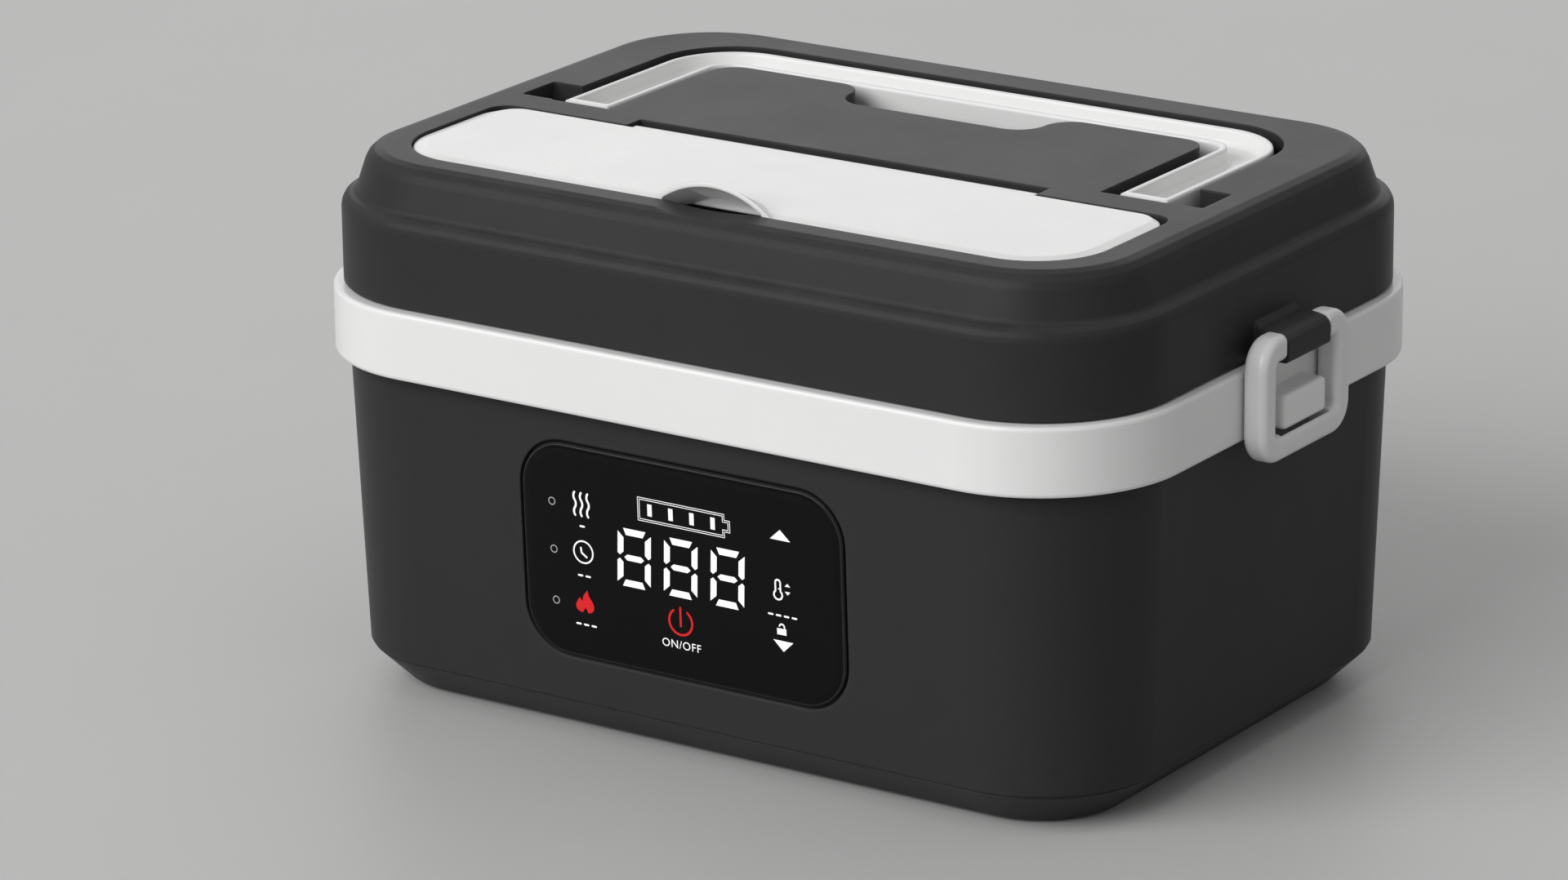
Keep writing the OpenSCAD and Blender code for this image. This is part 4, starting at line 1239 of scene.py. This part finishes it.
    def thermometer(self) -> None:
        """A thermometer outline with two small arrows beside it."""
        x, y, bulb, stem, top = self.right_mm - 1.1, 0.1, 1.2, 0.72, 3.25
        line, mark, mark_y = 0.46, 0.3, 1.7
        neck = math.degrees(math.asin(stem / bulb))
        self.arc(x, y, bulb, line, 90.0 + neck, FULL_TURN - 2 * neck)
        shoulder = y + bulb * math.cos(math.radians(neck))
        for side in (-1, 1):
            self.stroke((x + side * stem, shoulder), (x + side * stem, top), line)
        self.arc(x, top, stem, line, 0.0, 180.0)
        self.stroke((x + stem, mark_y), (x + 0.2, mark_y), mark)
        for s in (-1, 1):
            base = 1.95 + s * 0.65
            self.patch([(x + 2.0, base), (x + 3.6, base), (x + 2.8, base + s * 0.85)])

    def padlock(self) -> None:
        """An open padlock."""
        x, y, half_width, half_height = self.right_mm - 0.4, -9.35, 1.35, 0.8
        shackle, line, shackle_x, shackle_y = 0.72, 0.4, 0.1, y + 1.25
        left, right, low, high = x - half_width, x + half_width, y - half_height, y + half_height
        self.patch([(left, low), (right, low), (right, high), (left, high)])
        self.arc(x + shackle_x, shackle_y, shackle, line, 0.0, 180.0)
        leg = x + shackle_x + shackle
        self.stroke((leg, y + 0.7), (leg, shackle_y), line)

    def marks(self) -> None:
        """Plain dashes under the symbols, in the places of their legends."""
        pitch, half, line = 2.3, 0.55, 0.5
        for x, y, dashes in (
            (self.left_mm, 7.2, 1),
            (self.left_mm, -5.8, 2),
            (self.left_mm, -18.7, 3),
            (self.right_mm, -5.2, 4),
        ):
            for i in range(dashes):
                middle = x + (i - (dashes - 1) / 2) * pitch
                self.stroke((middle - half, y), (middle + half, y), line)


@dataclass
class TouchPanel(SubAssembly):
    """Black glass panel in the housing's sloping front wall, with its lit print."""

    finishes: Finishes = ((PANEL_GLASS, ("control_panel",)),)
    centre_z: float = 0.0504
    wall_top_y: float = 0.0837
    wall_top_z: float = 0.0873
    draft: float = 2.8 / 77.3  # how far the wall slopes in for each metre down
    face_mm: float = 0.65  # how far the glass stands out of the wall
    ink_mm: float = 0.03  # thickness of the print

    def place(self) -> Matrix:
        """Matrix from the panel's millimetres to the frame.

        Returns:
            The matrix that puts artwork on the glass.
        """
        wall_y = self.wall_top_y - self.draft * (self.wall_top_z - self.centre_z)
        centre = Matrix.Translation((0.0, -wall_y, self.centre_z))
        tilt = Matrix.Rotation(math.pi / 2 + math.atan(self.draft), 4, "X")
        face = Matrix.Translation((0.0, 0.0, self.face_mm))
        return centre @ tilt @ Matrix.Scale(MM, 4) @ face

    def build(self) -> None:
        """Dress the glass and print every symbol."""
        super().build()
        for name, draw, ink in (
            ("print_lamps", PanelArt.lamps, DIM_INK),
            ("print_steam", PanelArt.steam, WHITE_INK),
            ("print_clock", PanelArt.clock, WHITE_INK),
            ("print_flame", PanelArt.flame, RED_INK),
            ("print_battery", PanelArt.battery, WHITE_INK),
            ("print_digits", PanelArt.digits, WHITE_INK),
            ("print_power", PanelArt.power, RED_INK),
            ("print_legend", PanelArt.legend, WHITE_INK),
            ("print_arrows", PanelArt.arrows, WHITE_INK),
            ("print_thermometer", PanelArt.thermometer, WHITE_INK),
            ("print_padlock", PanelArt.padlock, WHITE_INK),
            ("print_marks", PanelArt.marks, WHITE_INK),
        ):
            art = PanelArt()
            draw(art)
            mesh = art.thicken(self.ink_mm)
            finish_piece(mesh, name, material_of(ink), self.place(), "root")


# ---------------- studio


@dataclass(frozen=True)
class Lamp:
    """One soft area lamp."""

    name: str
    place: Triple
    size: Pair
    power: float


@dataclass
class Studio:
    """Floor, lamps, world and camera."""

    floor: float = 0.52  # tone of the floor as the camera and mirrored rays see it
    floor_tint: Colour = (1.0, 1.0, 0.99)
    floor_shade: Colour = (0.985, 0.985, 0.975)
    floor_size: float = 5.0
    bounce: float = 0.7  # share of that tone that falls back onto the box
    world: float = 0.42  # strength of the surround
    lamps: tuple[Lamp, ...] = (
        Lamp("key_softbox", (-1.1, -3.25, 2.3), (3.8, 2.6), 147.0),
        Lamp("back_softbox", (-0.9, 1.9, 0.75), (2.2, 0.9), 6.5),
    )
    aim: Triple = (0.0, 0.0, 0.07)
    camera_place: Triple = (0.8904, -1.3484, 0.5880)
    azimuth: float = 34.19  # degrees around the box from its front
    elevation: float = 18.03  # degrees above the table
    roll: float = -0.71  # degrees about its own axis
    lens: float = 154.75  # millimetres

    def build(self) -> None:
        """Build the studio."""
        self.make_floor()
        self.make_world()
        for lamp in self.lamps:
            self.hang(lamp)
        self.make_camera()

    def make_floor(self) -> None:
        """A large plain pale table top."""
        mesh = bmesh.new()
        bmesh.ops.create_grid(mesh, x_segments=1, y_segments=1, size=self.floor_size)
        floor = add_mesh("floor", mesh)
        surface = Surface("pale_floor")
        grain = surface.effect(Effect.GRAIN, Cells=1200.0)
        shade = tuple(self.floor * share for share in self.floor_shade)
        tint = tuple(self.floor * share for share in self.floor_tint)
        pale = surface.blend(grain["Tone"], shade, tint)
        rays = surface.add("ShaderNodeLightPath").outputs
        seen = surface.maths("ADD", rays["Is Camera Ray"], rays["Is Glossy Ray"])
        seen = surface.maths("ADD", seen, rays["Is Transmission Ray"], clamp=True)
        dim = (self.floor * self.bounce,) * 3
        rough = surface.remap(grain["Tone"], 0.0, 1.0, to_low=0.5, to_high=0.56)
        sockets = {"Base Color": surface.blend(seen, dim, pale), "Roughness": rough}
        floor.data.materials.append(surface.finish(sockets))

    def make_world(self) -> None:
        """An even grey surround."""
        world = bpy.data.worlds.new("surround")
        world.use_nodes = True
        background = world.node_tree.nodes["Background"]
        Tree(world.node_tree).feed(background, {"Color": (1.0, 1.0, 1.0), "Strength": self.world})
        bpy.context.scene.world = world

    def hang(self, lamp: Lamp) -> None:
        """Hang one lamp.

        Args:
            lamp: The lamp.
        """
        data = bpy.data.lights.new(lamp.name, "AREA")
        data.shape, data.energy = "RECTANGLE", lamp.power
        data.size, data.size_y = lamp.size
        light = add_object(lamp.name, data)
        light.location = lamp.place
        away = Vector(self.aim) - Vector(lamp.place)
        light.rotation_euler = away.to_track_quat("-Z", "Y").to_euler()

    def make_camera(self) -> None:
        """The long-lens camera at the front right corner, a little above the lid."""
        data = bpy.data.cameras.new("camera")
        data.sensor_fit, data.sensor_width, data.lens = "HORIZONTAL", 36.0, self.lens
        data.clip_start, data.clip_end = 0.05, 30.0
        camera = add_object("camera", data)
        a, e, r = (math.radians(v) for v in (self.azimuth, self.elevation, self.roll))
        back = Vector((math.sin(a) * math.cos(e), -math.cos(a) * math.cos(e), math.sin(e)))
        right = Vector((0.0, 0.0, 1.0)).cross(back).normalized()
        up = back.cross(right)
        turned_right = math.cos(r) * right + math.sin(r) * up
        turned_up = -math.sin(r) * right + math.cos(r) * up
        pose = Matrix((turned_right, turned_up, back)).transposed().to_4x4()
        pose.translation = self.camera_place
        camera.matrix_world = pose
        bpy.context.scene.camera = camera


def main() -> None:
    """Load the frame, dress every part, print the panel and set the studio."""
    logging.basicConfig(level=logging.INFO, format="%(name)s: %(message)s")
    bpy.context.scene.view_settings.view_transform = "Standard"
    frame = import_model()
    Studio().build()
    body = (LowerBody, HeatedWell, PowerPack, TouchPanel)
    for assembly in (MovingTrim, CutleryCover, *body, Container, Lid):
        assembly(frame).build()
        LOG.info("%s is done", assembly.__name__)


if __name__ == "__main__":
    main()
